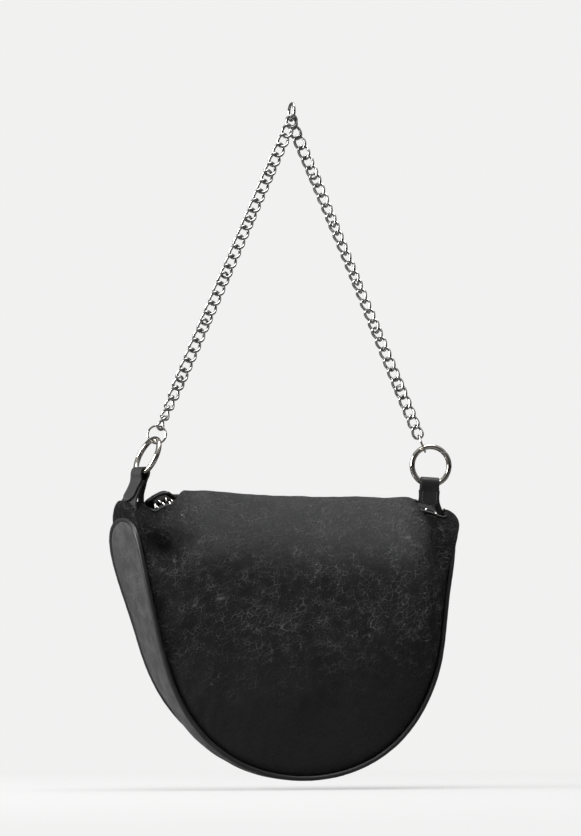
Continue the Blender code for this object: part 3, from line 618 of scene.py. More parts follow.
def panelPoint(place, t, side):
    # side 1 is the front; the back is worked out mirrored, with the same signs
    clear = bag["piping"] / 2.0 - 0.0004
    start = outlineAt(place) + inwardAt(place) * clear
    start.y = -seamHalf(place) - bag["endSeam"]
    topX = place * (bag["halfLength"] - bag["piping"] / 2.0 - bag["leather"])
    middle, toFront, up = zipFrame(topX)
    end = middle + toFront * side * windowHalf(topX) + up * zipper["edgeAbove"]
    corner = smoothStep((abs(topX) - zipper["shoulderFrom"]) / zipper["shoulderLength"])
    share = 1.0 if topX < 0.0 else zipper["rightShare"]
    end.z += zipper["shoulder"] * corner
    outer = smoothStep((abs(topX) - zipper["outFrom"]) / zipper["outLength"])
    end.x += math.copysign(zipper["shoulderOut"] * share * outer, topX)
    end.y = min(end.y * side, -bag["endSeam"])
    rise = Vector((end.x - start.x, 0.0, end.z - start.z))
    size = smoothStep(rise.length / (bag["depth"] * bag["full"]))
    opened = (windowHalf(topX) - bag["endSeam"]) / (zipper["windowHalf"] - bag["endSeam"])
    fullness = bag["endFullness"] + (1.0 - bag["endFullness"]) * size
    belly = start + rise * bag["belly"] + Vector((0.0, -bag["bulge"] * size, 0.0))
    # the right side is full, so that the front hides its seam
    turned = smoothStep((place - bag["turnedFrom"]) / bag["turnedLength"]) if side > 0.0 else 0.0
    belly.x += bag["turnedOut"] * turned
    belly.y -= bag["turnedOut"] * turned
    low = 1.0 - (bag["frontLow"] if side > 0.0 else bag["backLow"]) * endRoll(topX)
    ridge = end + Vector((0.0, -bag["lean"] * fullness * opened * low, bag["rise"] * fullness * opened * low))
    # the corner leather swells out over the tip of the gusset
    swell = smoothStep((abs(place) - bag["swellFrom"]) / bag["swellLength"])
    belly.x += math.copysign(bag["bellyOut"] * swell * share, place)
    belly.z += bag["swellUp"] * swell
    ridge.x += math.copysign(bag["ridgeOut"] * swell * share, place)
    ridge.z += bag["swellUp"] * swell * (1.0 - opened) * share
    u = 1.0 - t
    point = start * u ** 3 + belly * 3.0 * u * u * t + ridge * 3.0 * u * t * t + end * t ** 3
    point.y = min(point.y, -bag["endSeam"])
    return point


# pieces of the soft body, which sag together at the end
softPieces = []

# front and back panels: soft folds, puckers along the seam and fine waves
panelFolds = {
    "columns": 190, "rows": 84, "groove": 0.0011, "grooveWidth": 0.0022, "liningGap": 0.0024,
    "waves": ((26.0, 0.0011), (62.0, 0.00055), (140.0, 0.00026)), "pucker": 0.0009, "puckerReach": 0.030,
    "seamCalm": 0.006, "zipCalm": 0.004, "tipCalm": 0.010, "grooveHalf": 0.02,
    # x, z, turn in degrees, half length, half width, depth
    "front": ((-0.1085, -0.3350, -22.0, 0.0180, 0.0068, -0.0064), (-0.0980, -0.3270, -16.0, 0.0130, 0.0052, 0.0028),
              (-0.1130, -0.3230, -55.0, 0.0120, 0.0045, -0.0022), (-0.1060, -0.3830, 62.0, 0.0300, 0.0100, -0.0016),
              (-0.0700, -0.3270, -20.0, 0.0300, 0.0060, -0.0013), (-0.1010, -0.4100, 40.0, 0.0200, 0.0080, -0.0013),
              (0.1110, -0.3370, -78.0, 0.0260, 0.0080, -0.0040), (0.0960, -0.3270, -62.0, 0.0220, 0.0060, 0.0020),
              (0.0860, -0.3210, -52.0, 0.0220, 0.0060, -0.0022), (-0.0400, -0.3550, 12.0, 0.0600, 0.0160, -0.0012),
              (0.0300, -0.4200, -8.0, 0.0600, 0.0200, 0.0010), (0.0550, -0.3650, 30.0, 0.0500, 0.0110, -0.0010)),
    "back": ((0.1040, -0.3300, -28.0, 0.0220, 0.0090, -0.0034), (-0.1080, -0.3450, 70.0, 0.0280, 0.0100, -0.0022),
             (0.0300, -0.3750, 14.0, 0.0600, 0.0180, -0.0010)),
}


def foldHeight(x, z, folds):
    height = 0.0
    for middleX, middleZ, turnDeg, halfLong, halfWide, depth in folds:
        turn = math.radians(turnDeg)
        along = (x - middleX) * math.cos(turn) + (z - middleZ) * math.sin(turn)
        across = (z - middleZ) * math.cos(turn) - (x - middleX) * math.sin(turn)
        height += depth * math.exp(-(along / halfLong) ** 2 - (across / halfWide) ** 2)
    return height


def panelSurface(side, folds):
    count, rows = panelFolds["columns"], panelFolds["rows"]
    step = 2.0 / count
    near = [-1.0 + step * share for share in (0.1, 0.25, 0.45, 0.7)]
    places = [-1.0] + near + [-1.0 + step * index for index in range(1, count)] + [-p for p in reversed(near)] + [1.0]
    grid = [[panelPoint(place, math.sin(math.pi / 2.0 * (row / rows) ** 0.92), side) for row in range(rows + 1)]
            for place in places]
    outer = []
    inner = []
    for column, place in enumerate(places):
        line = []
        inside = []
        reach = 0.0
        for row, point in enumerate(grid[column]):
            if row:
                reach += (point - grid[column][row - 1]).length
            across = grid[min(column + 1, len(grid) - 1)][row] - grid[max(column - 1, 0)][row]
            up = grid[column][min(row + 1, rows)] - grid[column][max(row - 1, 0)]
            normal = across.cross(up)
            normal = normal.normalized() if normal.length > 1e-12 else Vector((0.0, -1.0, 0.0))
            if normal.y > 0.0 and row < rows * 0.6:
                normal = -normal
            left = sum((grid[column][at + 1] - grid[column][at]).length for at in range(row, rows)) if row > rows - 12 \
                else 1.0
            # the folds calm down near the seam, the zip and the tips
            calm = min(1.0, reach / panelFolds["seamCalm"]) * min(1.0, left / panelFolds["zipCalm"]) \
                * min(1.0, (1.0 - abs(place)) * halfArc / panelFolds["tipCalm"])
            height = foldHeight(point.x, point.z, folds) * calm
            for scale, depth in panelFolds["waves"]:
                spot = Vector((point.x * scale, point.z * scale, side * 7.0 + scale))
                height += depth * noise.noise(spot) * calm
            seamSpot = Vector((place * halfArc * 150.0, reach * 34.0, 3.0 + side))
            pull = math.exp(-reach / panelFolds["puckerReach"]) * calm
            height += panelFolds["pucker"] * noise.noise(seamSpot) * pull
            height -= panelFolds["groove"] * math.exp(-(reach / panelFolds["grooveWidth"]) ** 2) \
                * min(1.0, seamHalf(place) / panelFolds["grooveHalf"])
            for drop, target in ((0.0, line), (panelFolds["liningGap"], inside)):
                placed = point + normal * (height - drop)
                placed.y = min(placed.y, -bag["endSeam"])
                target.append(Vector((placed.x, placed.y * side, placed.z)))
        outer.append(line)
        inner.append(inside[6:-3])
    if side < 0.0:
        outer.reverse()
        inner.reverse()
    return outer, inner[8:-8]


def makeSheet(name, grid, thickness, material, offset=-1.0):
    piece = gridPiece(name, grid)
    thicken(piece, thickness, offset)
    piece.data.materials.append(material)
    softPieces.append(piece)
    return piece


def makePanel(name, node, surface):
    piece = makeSheet(name, surface, bag["leather"], panelLeatherPaintedShade)
    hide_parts(node)
    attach(piece, "bag")


frontSurface, frontInside = panelSurface(1.0, panelFolds["front"])
backSurface, backInside = panelSurface(-1.0, panelFolds["back"])
makePanel("frontPanelLeather", "front_panel", frontSurface)
makePanel("backPanelLeather", "back_panel", backSurface)
print("panels made")

# gusset: slightly puffed between its two seams, with long soft creases
gussetShape = {
    "columns": 240, "rows": 20, "clear": 0.0003, "tipTurn": 0.055, "puff": 0.0018, "sink": 0.0009,
    # noise scales along and across, noise layer, depth
    "waves": ((26.0, 1.6, 11.0, 0.0007), (80.0, 2.6, 23.0, 0.000385)),
}


def makeGusset():
    clear = bag["piping"] / 2.0 - gussetShape["clear"]
    grid = []
    for index in range(gussetShape["columns"] + 1):
        turn = gussetShape["tipTurn"] + (math.pi - 2.0 * gussetShape["tipTurn"]) * index / gussetShape["columns"]
        place = -math.cos(turn)
        half = seamHalf(min(1.0, abs(place) + clear / halfArc)) - clear
        if half < 0.001:
            continue
        line = []
        for row in range(gussetShape["rows"] + 1):
            share = -1.0 + 2.0 * row / gussetShape["rows"]
            middle = 1.0 - share * share
            puff = gussetShape["puff"] * middle * min(1.0, half / 0.02) - gussetShape["sink"]
            for along, across, layer, depth in gussetShape["waves"]:
                puff += depth * noise.noise(Vector((place * halfArc * along, share * across, layer))) * middle
            line.append(outlineAt(place) - inwardAt(place) * puff + Vector((0.0, half * share, 0.0)))
        grid.append(line)
    piece = makeSheet("gussetStrip", grid, bag["leather"], gussetLeatherPaintedLit)
    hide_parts("gusset")
    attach(piece, "bag")


makeGusset()


# piping: one leather-covered cord round the front seam, the tips and the back seam
def makePiping():
    steps = 300
    front = []
    for index in range(steps + 1):
        place = -math.cos(math.pi * index / steps)
        point = outlineAt(place)
        point.y = -seamHalf(place)
        front.append(point)
    back = [Vector((point.x, -point.y, point.z)) for point in front]
    piece = tubePiece("pipingCord", front + back[-2:0:-1], bag["piping"] / 2.0, True, 14)
    # the leather is gathered round the cord, along the normals of the even cord
    work = bmesh.new()
    work.from_mesh(piece.data)
    for vert in work.verts:
        gather = noise.noise(Vector((vert.co.x * 260.0, vert.co.y * 260.0, vert.co.z * 260.0)))
        vert.co += vert.normal * gather * 0.00012
    work.to_mesh(piece.data)
    work.free()
    piece.data.materials.append(pipingLeather)
    softPieces.append(piece)
    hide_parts("piping")
    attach(piece, "bag")


makePiping()
print("gusset and piping made")


# carried-over nodes keep their shape and get their finish
def paint(node, material):
    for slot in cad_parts[node].material_slots:
        slot.material = material


# lining: a cloth sheet inside each panel and a strip inside the gusset
liningShape = {"columns": 80, "rows": 8, "tipTurn": 0.12, "inset": 0.0050, "inward": 0.0032, "thick": 0.0004}


def makeLining():
    columns, rows, tipTurn = liningShape["columns"], liningShape["rows"], liningShape["tipTurn"]
    sheets = [[line[::3] for line in inside[::3]] for inside in (frontInside, backInside)]
    strip = []
    for index in range(columns + 1):
        place = -math.cos(tipTurn + (math.pi - 2.0 * tipTurn) * index / columns)
        half = seamHalf(place) - liningShape["inset"]
        inside = outlineAt(place) + inwardAt(place) * liningShape["inward"]
        strip.append([inside + Vector((0.0, half * (-1.0 + 2.0 * row / rows), 0.0)) for row in range(rows + 1)])
    piece = joinPieces("liningCloth", [gridPiece("liningSheet", grid) for grid in sheets + [strip]])
    thicken(piece, liningShape["thick"])
    softPieces.append(piece)
    piece.data.materials.append(liningCloth)
    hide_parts("lining")
    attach(piece, "bag")


makeLining()

# zip window: a folded leather edge along both sides, with a line of stitching outside it
windowEdge = {
    "reach": 0.882, "weltInset": 0.0006, "weltLift": 0.0001, "weltRadius": 0.00105,
    "stitchInset": 0.0034, "stitchLift": 0.0003,
}


def edgeLine(side, inset, lift, count=140):
    # a line that follows the window's edge, inset from it up the panel
    line = []
    for index in range(count + 1):
        place = windowEdge["reach"] * (-1.0 + 2.0 * index / count)
        samples = [panelPoint(place, math.sin(math.pi / 2.0 * (1.0 - step / 240.0)), side) for step in range(60)]
        reach = 0.0
        chosen = samples[0]
        for before, after in zip(samples, samples[1:]):
            reach += (after - before).length
            chosen = after
            if reach >= inset:
                break
        line.append(Vector((chosen.x, chosen.y * side, chosen.z + lift)))
    return line


def makeWelt(name, side):
    path = edgeLine(side, windowEdge["weltInset"], windowEdge["weltLift"])
    piece = tubePiece(name, path, windowEdge["weltRadius"], False, 10)
    piece.data.materials.append(pipingLeather)
    softPieces.append(piece)
    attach(piece, "bag")


makeWelt("zipEdgeFront", 1.0)
makeWelt("zipEdgeBack", -1.0)
zipStitches = stitches("zipWindowStitches", [
    edgeLine(side, windowEdge["stitchInset"], windowEdge["stitchLift"]) for side in (1.0, -1.0)])
softPieces.append(zipStitches)
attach(zipStitches, "bag")

# zip teeth: two interlocking rows of metal elements, each on its tape
toothShape = {"length": 0.0042, "width": 0.0012, "height": 0.0019, "from": 0.0017, "endGap": 0.002}
tapeShape = {
    "columns": 140, "rows": 8, "from": 0.0012, "width": 0.0088, "thick": 0.0006, "cord": 0.0007, "cordRow": 2.0,
}


def makeTeeth(name, node, side, phase):
    points = []
    turns = []
    count = int(2.0 * (zipper["half"] - toothShape["endGap"]) / (2.0 * zipper["pitch"]))
    for index in range(count):
        x = -zipper["half"] + toothShape["endGap"] + (index + phase) * 2.0 * zipper["pitch"]
        middle, toFront = zipFrame(x)[:2]
        along = zipAlong(x)
        outward = -toFront
        points.append(middle + outward * side * toothShape["from"])
        turns.append(tuple(Matrix((along, outward, along.cross(outward).normalized())).transposed().to_euler()))
    piece = grow(pointsPiece(name, points, turns), zipTeethRow, {
        "Length": toothShape["length"], "Width": toothShape["width"], "Height": toothShape["height"],
        "Material": zipNickel})
    softPieces.append(piece)
    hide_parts(node)
    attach(piece, "bag")


def makeTape(name, node, side):
    grid = []
    for index in range(tapeShape["columns"] + 1):
        x = -zipper["half"] + 2.0 * zipper["half"] * index / tapeShape["columns"]
        middle, toFront, up = zipFrame(x)
        line = []
        for step in range(tapeShape["rows"] + 1):
            away = side * (tapeShape["from"] + tapeShape["width"] * step / tapeShape["rows"])
            cord = tapeShape["cord"] * math.exp(-(step - tapeShape["cordRow"]) ** 2)
            line.append(middle - toFront * away + up * cord)
        grid.append(line)
    if side > 0.0:
        grid.reverse()
    piece = makeSheet(name, grid, tapeShape["thick"], tapeCloth, 0.0)
    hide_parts(node)
    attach(piece, "bag")


makeTeeth("zipElementsFront", "zip_teeth_front", -1.0, 0.0)
makeTeeth("zipElementsBack", "zip_teeth_back", 1.0, 0.5)
makeTape("zipTapeFront", "zip_tape_front", -1.0)
makeTape("zipTapeBack", "zip_tape_back", 1.0)


def finishMetal(piece, material, node, body, edge=0.00018):
    if edge:
        roundEdges(piece, edge, 45.0)
        settle(piece)
    piece.data.materials.clear()
    piece.data.materials.append(material)
    piece.data.shade_smooth()
    piece.data.set_sharp_from_angle(angle=math.radians(50.0))
    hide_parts(node)
    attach(piece, body)


stopShape = {"size": (0.0022, 0.0046, 0.0024, 1.0), "inset": 0.0007, "edge": 0.0006}


def makeStop(word, side):
    x = side * (zipper["half"] - stopShape["inset"])
    middle, toFront = zipFrame(x)[:2]
    along = zipAlong(x)
    place = Matrix((along, -toFront, along.cross(-toFront))).transposed().to_4x4()
    place.translation = middle
    work = bmesh.new()
    bmesh.ops.create_cube(work, size=1.0, matrix=place @ Matrix.Diagonal(stopShape["size"]))
    piece = meshPiece("zipStop" + word, work)
    softPieces.append(piece)
    finishMetal(piece, zipNickel, "zip_stop_" + word.lower(), "bag", stopShape["edge"])


for node in ("zip_slider", "zip_slider_base", "zip_puller"):
    paint(node, zipNickel)
print("zip made")


# hardware frames
def runDirection(side):
    return Vector((side * hardware["span"] / 2.0, 0.0, -hardware["ringDrop"])).normalized()


def facing(azimuthDeg, up):
    azimuth = math.radians(azimuthDeg)
    look = Vector((math.sin(azimuth), -math.cos(azimuth), 0.0))
    return (look - up * look.dot(up)).normalized()


def ringCentre(side):
    return Vector((side * hardware["span"] / 2.0, 0.0, hardware["ringZ"]))


def ringAzimuth(side):
    return hardware["leftAzimuth"] if side < 0.0 else hardware["rightAzimuth"]


# angles are in degrees round the ring, and reaches are shares of its wire
gateShape = {
    "top": 24.0, "bottom": -50.0, "slant": 0.95, "clear": 1.2, "outer": 2.0, "inner": 0.75, "tongue": 0.31,
    "tongueBelow": 6.0, "tongueAbove": 13.8, "tongueThick": 0.0013, "slotBelow": 5.0, "slotAbove": 21.0,
    "slotThick": 0.0020,
}


def sectorBlock(name, place, lowDeg, highDeg, depth, outer, inner, slant=0.0):
    centre, right, up, face = place
    work = bmesh.new()
    bmesh.ops.create_cube(work, size=2.0)
    for vert in work.verts:
        turn = math.radians(highDeg if vert.co.x > 0.0 else lowDeg)
        out = right * math.cos(turn) + up * math.sin(turn)
        along = up * math.cos(turn) - right * math.sin(turn)
        reach = outer if vert.co.y > 0.0 else -inner
        drift = -slant * reach if vert.co.x > 0.0 else 0.0
        vert.co = centre + out * (hardware["ringRadius"] + reach) + along * drift + face * (vert.co.z * depth / 2.0)
    faceOutward(work)
    return meshPiece(name, work)


def cut(piece, tool, operation):
    step = piece.modifiers.new(tool.name, "BOOLEAN")
    step.solver = "EXACT"
    step.operation = operation
    step.object = tool
    settle(piece)
    bpy.data.objects.remove(tool, do_unlink=True)


def makeRing(word, side):
    shape = gateShape
    top, bottom = shape["top"], shape["bottom"]
    up = -runDirection(side)
    face = facing(ringAzimuth(side), up)
    right = (-face).cross(up)
    place = (ringCentre(side), right, up, face)
    wire = hardware["ringWire"]
    loop = circlePoints(ringCentre(side), right, up, hardware["ringRadius"], 96)
    body = tubePiece("springRing" + word, loop, wire / 2.0, True, 28)
    gate = tubePiece("springGate" + word, loop, wire / 2.0, True, 28)
    whole = (2.0 * wire, shape["outer"] * wire, shape["inner"] * wire, shape["slant"])
    tongue = wire * shape["tongue"]
    cut(body, sectorBlock("gapTool", place, bottom, top, *whole), "DIFFERENCE")
    cut(body, sectorBlock("tongueTool", place, bottom - shape["tongueBelow"], bottom + shape["tongueAbove"],
                          shape["tongueThick"], tongue, tongue), "UNION")
    cut(gate, sectorBlock("spanTool", place, bottom + shape["clear"], top - shape["clear"], *whole), "INTERSECT")
    cut(gate, sectorBlock("slotTool", place, bottom - shape["slotBelow"], bottom + shape["slotAbove"],
                          shape["slotThick"], wire, wire), "DIFFERENCE")
    low = word.lower()
    finishMetal(body, ringNickel, "ring_" + low, "snap_ring_" + low)
    finishMetal(gate, ringNickel, "gate_" + low, "snap_gate_" + low)
    paint("gate_pin_" + low, ringNickel)


def ringBite():
    # how far a jump ring and its ring reach past one another's wire
    return (hardware["ringWire"] + hardware["jumpWire"]) / 2.0 + hardware["play"]


def makeJumpRing(word, side):
    up = -runDirection(side)
    centre = ringCentre(side) + up * (hardware["ringRadius"] + hardware["jumpRadius"] - ringBite())
    view = facing(hardware["viewAzimuth"], -up)
    normal = view if side < 0.0 else view.cross(-up)
    loop = circlePoints(centre, normal.cross(up).normalized(), up, hardware["jumpRadius"], 72)
    # the ring's butt joint is a hairline split
    body = tubePiece("jumpRing" + word, loop[14:] + loop[:14], hardware["jumpWire"] / 2.0, False, 16)
    node = "jump_ring_" + word.lower()
    finishMetal(body, ringNickel, node, node + "_body", 0.0)


for word, side in sides:
    makeRing(word, side)
for word, side in sides:
    makeJumpRing(word, side)
print("rings made")

# strap: curb links laid out as in the frame
strap = {
    "pitch": 0.0080, "runs": 6, "wire": 0.0022, "halfWidth": 0.00375, "twist": 0.00135, "bite": 0.0003,
    "jointPlay": 0.0014, "topHalf": 0.0064, "topPlay": 0.0014, "topOffset": 0.0019, "topTwists": (0.3, 0.4, 0.8),
    "rightRoll": 68.0, "rightShare": 0.92, "leftEndRoll": -60.0, "showWire": 0.00215,
}


def linkPlaces():
    runs = strap["runs"]
    above = strap["wire"] + strap["topPlay"]
    length = math.hypot(hardware["span"] / 2.0, hardware["ringDrop"])
    last = length - hardware["ringRadius"] - 2.0 * hardware["jumpRadius"] + ringBite()
    reach = last + (hardware["jumpWire"] + strap["wire"]) / 2.0 + hardware["play"] + above
    tight = strap["wire"] - strap["bite"]
    loose = strap["wire"] + strap["jointPlay"]
    count = round(reach / strap["pitch"])
    starts = [math.ceil(run * count / runs) for run in range(runs + 1)]
    half = (reach + (count - runs) * tight + (runs - 1) * loose) / (2.0 * count)
    places = []
    at = half - above
    for index in range(count):
        places.append(at)
        at += 2.0 * half - (loose if index + 1 in starts else tight)
    return half, places, starts


def linkRoll(side, index, starts):
    if side > 0.0:
        share = (index - sum(index >= start for start in starts[1:-1])) / (starts[-1] - strap["runs"])
        return math.radians(strap["rightRoll"]) * math.sin(math.pi * share ** strap["rightShare"])
    share = (index + 1 - starts[-2]) / (starts[-1] - starts[-2])
    return math.radians(strap["leftEndRoll"]) * max(0.0, share)


def makeStrap(word, side):
    half, places, starts = linkPlaces()
    along = runDirection(side)
    start = Vector((0.0, 0.0, -(2.0 * strap["topHalf"] - strap["wire"] / 2.0)))
    flat = Vector((0.0, 1.0, 0.0))
    across = flat.cross(along).normalized()
    firstEnd = places[starts[1] - 1] + half
    for run, (first, after) in enumerate(zip(starts, starts[1:])):
        # links of one twist are grown together
        groups = {}
        for index in range(first, after):
            aside = side * strap["topOffset"] * max(0.0, 1.0 - places[index] / firstEnd)
            roll = linkRoll(side, index, starts)
            width = across * math.cos(roll) + flat * math.sin(roll)
            normal = flat * math.cos(roll) - across * math.sin(roll)
            flip = -1.0 if along.cross(width).dot(normal) < 0.0 else 1.0
            turn = Matrix((along, width * flip, normal)).transposed().to_euler()
            share = strap["topTwists"][index] if index < len(strap["topTwists"]) else 1.0
            groups.setdefault(flip * share, []).append((start + along * places[index] + flat * aside, tuple(turn)))
        parts = [grow(pointsPiece("links", *zip(*items)), curbLinks, {
            "Half Length": half, "Half Width": strap["halfWidth"], "Twist": strap["twist"] * twist,
            "Wire": strap["showWire"], "Material": chainSilver}) for twist, items in groups.items()]
        piece = joinPieces("curbRun" + word + str(run + 1), parts)
        piece.data.materials.append(chainSilver)
        number = word.lower() + "_" + str(run + 1)
        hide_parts("chain_" + number)
        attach(piece, "chain_run_" + number)


def makeTopLink():
    middle = Vector((0.0, 0.0, strap["wire"] / 2.0 - strap["topHalf"]))
    down, front = Vector((0.0, 0.0, -1.0)), Vector((0.0, -1.0, 0.0))
    loop = circlePoints(middle, down, front, strap["topHalf"], 64)
    piece = tubePiece("topLinkWire", loop, strap["wire"] / 2.0, True, 16)
    finishMetal(piece, chainSilver, "apex_link", "top_link", 0.0)


for word, side in sides:
    makeStrap(word, side)
makeTopLink()
print("strap made")

# side tabs: a flared base, a strip folded over each ring with a rounded, stitched leaf, and a narrow inner strand
tabShape = {
    "thick": 0.0016, "layer": 0.0019, "play": 0.0006, "loopWidth": 0.0138, "loopLift": 0.0016,
    "leafWidth": 0.0140, "leafRound": 0.85, "neckWidth": 0.0152, "neckDrop": 1.65, "baseWidth": 0.0164,
    "baseFlare": 0.26, "footWidth": 0.0240, "footLength": 0.0085, "strandWidth": 0.0060, "seamInset": 0.0016,
    "edge": 0.00035,
    # azimuth and lean of the tab, how far its leaf and its strand swing out, and their lengths
    "Left": {"azimuth": -74.0, "lean": 13.0, "leafOut": 15.0, "footOut": -14.0, "strandOut": 17.0, "leaf": 0.0170,
             "strand": 0.0270},
    "Right": {"azimuth": -10.0, "lean": -3.0, "leafOut": 2.0, "footOut": 0.0, "strandOut": 4.0, "leaf": 0.0125,
              "strand": 0.0200},
}


def tabFrame(side, azimuth, leanDeg):
    ringFace = facing(ringAzimuth(side), -runDirection(side))
    lean = math.radians(leanDeg)
    up = Vector((-side * math.sin(lean), 0.0, math.cos(lean)))
    pull = (up - ringFace * up.dot(ringFace)).normalized()
    face = facing(azimuth, up)
    place = Matrix(((-face).cross(up), -face, up)).transposed().to_4x4()
    place.translation = ringCentre(side) - pull * hardware["ringRadius"]
    return place


def makeTab(word, side):
    shape = tabShape
    pose = shape[word]
    place = tabFrame(side, pose["azimuth"], pose["lean"])
    radius = hardware["ringWire"] / 2.0 + shape["play"] + shape["thick"] / 2.0
    neck = -radius * shape["neckDrop"]
    swing = math.radians(pose["leafOut"])
    half = shape["leafWidth"] / 2.0
    tip = half * shape["leafRound"]

    def hangPoint(layer, down):
        return layer - down * math.sin(swing), neck - down * math.cos(swing)

    # stations of the folded strip, each with its depth, height and half width: leaf tip, leaf, loop and strand
    folded = []
    for step in range(9):
        share = step / 8.0
        folded.append((*hangPoint(-shape["layer"], pose["leaf"] - tip * share),
                       half * math.sqrt(max(0.02, 1.0 - (1.0 - share) ** 2))))
    for step in range(1, 8):
        share = step / 7.0
        narrow = 1.0 - 0.07 * math.sin(math.pi * share)
        folded.append((*hangPoint(-shape["layer"], (pose["leaf"] - tip) * (1.0 - share)),
                       (half + (shape["neckWidth"] / 2.0 - half) * share ** 2) * narrow))
    for step in range(23):
        turn = math.radians(214.0 - 248.0 * step / 22.0)
        lift = shape["loopLift"] * smoothStep((math.sin(turn) + 0.45) / 0.7)
        folded.append((radius * math.cos(turn), radius * math.sin(turn) + lift, shape["loopWidth"] / 2.0))
    drift = math.tan(math.radians(pose["strandOut"]))
    for step in range(10):
        share = step / 9.0
        narrow = smoothStep(share / 0.35)
        width = shape["neckWidth"] / 2.0 + (shape["strandWidth"] - shape["neckWidth"]) / 2.0 * narrow
        folded.append((shape["layer"] + pose["strand"] * share * drift, neck - pose["strand"] * share, width))
    # stations of the base, which flares to its foot
    base = []
    for step in range(9):
        share = step / 8.0
        flare = 1.0 - 0.06 * math.sin(math.pi * share) + shape["baseFlare"] * share ** 3
        base.append((*hangPoint(0.0, pose["leaf"] * share - 0.001 * (1.0 - share)), shape["baseWidth"] / 2.0 * flare))
    y, z, wide = base[-1]
    for step in range(1, 7):
        share = step / 6.0
        base.append((y - shape["footLength"] * share * math.sin(math.radians(pose["footOut"])),
                     z - shape["footLength"] * share, wide + (shape["footWidth"] / 2.0 - wide) * share ** 1.3))
    piece = joinPieces("foldedTab" + word, [gridPiece("strip", [
        [place @ Vector(((-1.0 + step / 4.0) * width, y, z)) for step in range(9)] for y, z, width in stations
    ]) for stations in (folded, base)])
    thicken(piece, shape["thick"], 0.0)
    roundEdges(piece, shape["edge"], 50.0)
    soft = piece.modifiers.new("soft", "SUBSURF")
    soft.levels = soft.render_levels = 1
    piece.data.materials.append(tabLeather)
    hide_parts("tab_" + word.lower(), "tab_base_" + word.lower())
    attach(piece, "bag")
    # stitching runs round the leaf, just inside its edge
    inner = half - shape["seamInset"]
    outside = -shape["layer"] - shape["thick"] / 2.0 - 0.0001
    path = [(-inner, 0.001)]
    for step in range(33):
        turn = math.pi * step / 32.0
        path.append((-math.cos(turn) * inner, pose["leaf"] - tip + math.sin(turn) * (tip - shape["seamInset"])))
    path.append((inner, 0.001))
    path = [place @ Vector((x, *hangPoint(outside, down))) for x, down in path]
    thread = stitches("tabStitches" + word, [path], 0.0024, 0.0018, 0.0005)
    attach(thread, "bag")


for word, side in sides:
    makeTab(word, side)
for word, side in sides:
    makeStop(word, side)
print("tabs and zip stops made")

# the soft body sags: its back hem lifts, its left tip spreads and its right seam draws in
sag = {
    "backFrom": -0.020, "backLength": 0.050, "backLift": 0.0125, "liftDepth": 0.85, "endLength": 0.045,
    "leftFrom": 0.075, "leftLow": 0.012, "leftLowLength": 0.085, "tipShift": 0.0020, "tipSpread": 0.0055,
    "rightFrom": 0.070, "rightHigh": -0.002, "rightHighLength": 0.020, "rightLow": 0.045, "rightLowLength": 0.075,
    "rightBack": 0.012, "rightBackLength": 0.030, "rightDraw": 0.0050,
}


def soften(point):
    x, y, z = point
    down = bag["tipZ"] - z
    toBack = smoothStep((y - sag["backFrom"]) / sag["backLength"])
    lift = sag["backLift"] * smoothStep(down / (sag["liftDepth"] * bag["depth"])) * toBack
    left = smoothStep((-x - sag["leftFrom"]) / sag["endLength"]) \
        * (1.0 - smoothStep((down - sag["leftLow"]) / sag["leftLowLength"]))
    right = smoothStep((x - sag["rightFrom"]) / sag["endLength"]) \
        * smoothStep((down - sag["rightHigh"]) / sag["rightHighLength"]) \
        * (1.0 - smoothStep((down - sag["rightLow"]) / sag["rightLowLength"])) \
        * smoothStep((sag["rightBack"] - y) / sag["rightBackLength"])
    shift = -left * (sag["tipShift"] + sag["tipSpread"] * toBack) - right * sag["rightDraw"]
    return Vector((x + shift, y, z + lift))


for piece in softPieces:
    for vert in piece.data.vertices:
        vert.co = soften(vert.co)
print("soft body sagged")

# floor, lights and camera
studio = {
    "floorZ": -0.5150, "paper": 0.46, "white": 0.880, "mirrored": 0.16, "nearGlow": 0.60, "glowFrom": 0.35,
    "glowTo": 1.10, "cameraAzimuth": -18.8, "cameraPitch": 6.24, "distance": 2.052,
    "aim": (-0.0008, 0.0, -0.2391), "lens": 117.8,
    "sky": ((0.40, 0.30), (0.46, 0.03), (0.62, 0.05), (0.72, 0.30), (0.90, 0.75)),
    "sweepFrom": 2.2, "sweepLength": 1.6,
    # place, aim, size and power of each lamp
    "lamps": {
        "keyLeft": ((-1.9, -0.05, 0.30), (0.0, 0.0, -0.38), (1.0, 1.3), 80.0),
        "topSoft": ((0.1, -0.25, 1.6), (0.0, 0.0, -0.35), (1.6, 1.0), 48.0),
        "fillRight": ((1.6, -1.2, 0.4), (0.0, 0.0, -0.40), (0.8, 1.2), 1.2),
    },
}


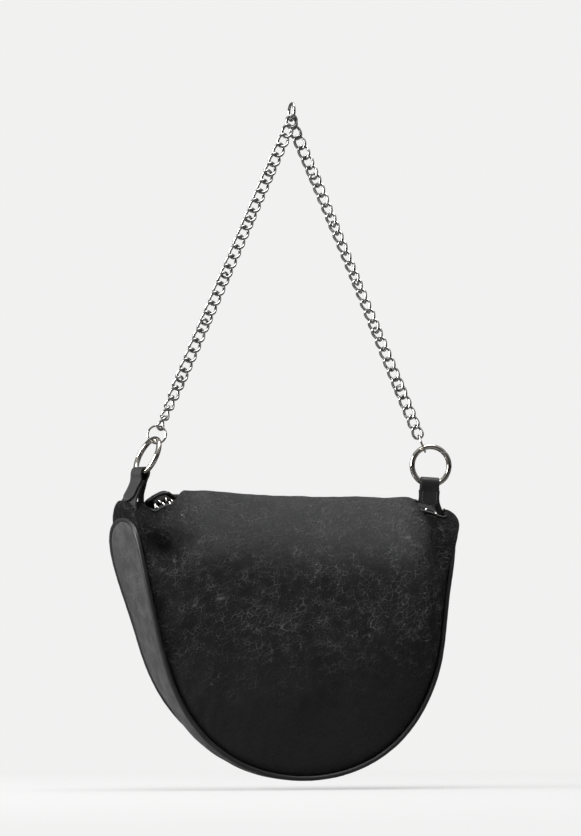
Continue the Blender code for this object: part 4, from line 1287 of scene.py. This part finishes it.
def makeFloor():
    flatEnd = studio["sweepFrom"] + studio["sweepLength"]
    grid = []
    for row in range(61):
        y = -4.0 + 10.0 * row / 60.0
        rise = 0.0
        if y > studio["sweepFrom"]:
            turn = min(1.0, (y - studio["sweepFrom"]) / studio["sweepLength"]) * math.pi / 2.0
            rise = studio["sweepLength"] * (1.0 - math.cos(turn)) + max(0.0, y - flatEnd) * 1.5
        grid.append([Vector((6.0 - 12.0 * column / 40.0, min(y, flatEnd), studio["floorZ"] + rise))
                     for column in range(41)])
    floor = gridPiece("paperFloor", grid)
    made = bpy.data.materials.new("paperSweep")
    made.use_nodes = True
    tree = made.node_tree
    tree.nodes.clear()
    rays = makeNode(tree, "ShaderNodeLightPath").outputs
    # the camera and clear things see an even white, and polished things a darker one
    seen = mathNode(tree, "MAXIMUM", rays["Is Camera Ray"],
                    mathNode(tree, "MAXIMUM", rays["Is Glossy Ray"], rays["Is Transmission Ray"]))
    shade = mixNode(tree, rays["Is Glossy Ray"], (studio["white"], studio["white"], studio["white"] * 0.996, 1.0),
                    grey(studio["mirrored"]))
    place = makeNode(tree, "ShaderNodeTexCoord").outputs["Object"]
    near = makeNode(tree, "ShaderNodeVectorMath", {0: place}, operation="LENGTH").outputs["Value"]
    away = spanNode(tree, near, studio["glowFrom"], studio["glowTo"], studio["nearGlow"], kind="SMOOTHSTEP")
    blend = makeNode(tree, "ShaderNodeMixShader", {
        0: mathNode(tree, "MULTIPLY", seen, away),
        1: makeNode(tree, "ShaderNodeBsdfDiffuse", {"Color": grey(studio["paper"])}).outputs[0],
        2: makeNode(tree, "ShaderNodeEmission", {"Color": shade}).outputs[0]})
    makeNode(tree, "ShaderNodeOutputMaterial", {"Surface": blend.outputs[0]})
    floor.data.materials.append(made)


def makeLamp(name, place, aim, size, power):
    lamp = bpy.data.lights.new(name, "AREA")
    lamp.shape = "RECTANGLE"
    lamp.size, lamp.size_y = size
    lamp.energy = power
    holder = addPiece(name, lamp)
    holder.location = place
    holder.rotation_euler = (Vector(aim) - Vector(place)).to_track_quat("-Z", "Y").to_euler()


def makeWorld():
    world = bpy.data.worlds.new("studioWorld")
    bpy.context.scene.world = world
    world.use_nodes = True
    tree = world.node_tree
    rays = makeNode(tree, "ShaderNodeLightPath").outputs
    direction = makeNode(tree, "ShaderNodeTexCoord").outputs["Generated"]
    split = makeNode(tree, "ShaderNodeSeparateXYZ", {0: direction})
    height = mathNode(tree, "MULTIPLY_ADD", split.outputs[2], 0.5, 0.5)
    sky = rampNode(tree, height, [(position, grey(level)) for position, level in studio["sky"]])
    whole = mixNode(tree, rays["Is Camera Ray"], sky, grey(studio["white"]))
    feed(tree, tree.nodes["Background"], {"Color": whole})


def makeCamera():
    camera = bpy.data.cameras.new("photoCamera")
    camera.lens = studio["lens"]
    holder = addPiece("photoCamera", camera)
    azimuth, pitch = math.radians(studio["cameraAzimuth"]), math.radians(studio["cameraPitch"])
    back = Vector((math.sin(azimuth) * math.cos(pitch), -math.cos(azimuth) * math.cos(pitch), -math.sin(pitch)))
    holder.location = Vector(studio["aim"]) + back * studio["distance"]
    holder.rotation_euler = (-back).to_track_quat("-Z", "Y").to_euler()
    bpy.context.scene.camera = holder
    bpy.context.scene.view_settings.view_transform = "Standard"


makeFloor()
for name, values in studio["lamps"].items():
    makeLamp(name, *values)
makeWorld()
makeCamera()

print("scene ready")
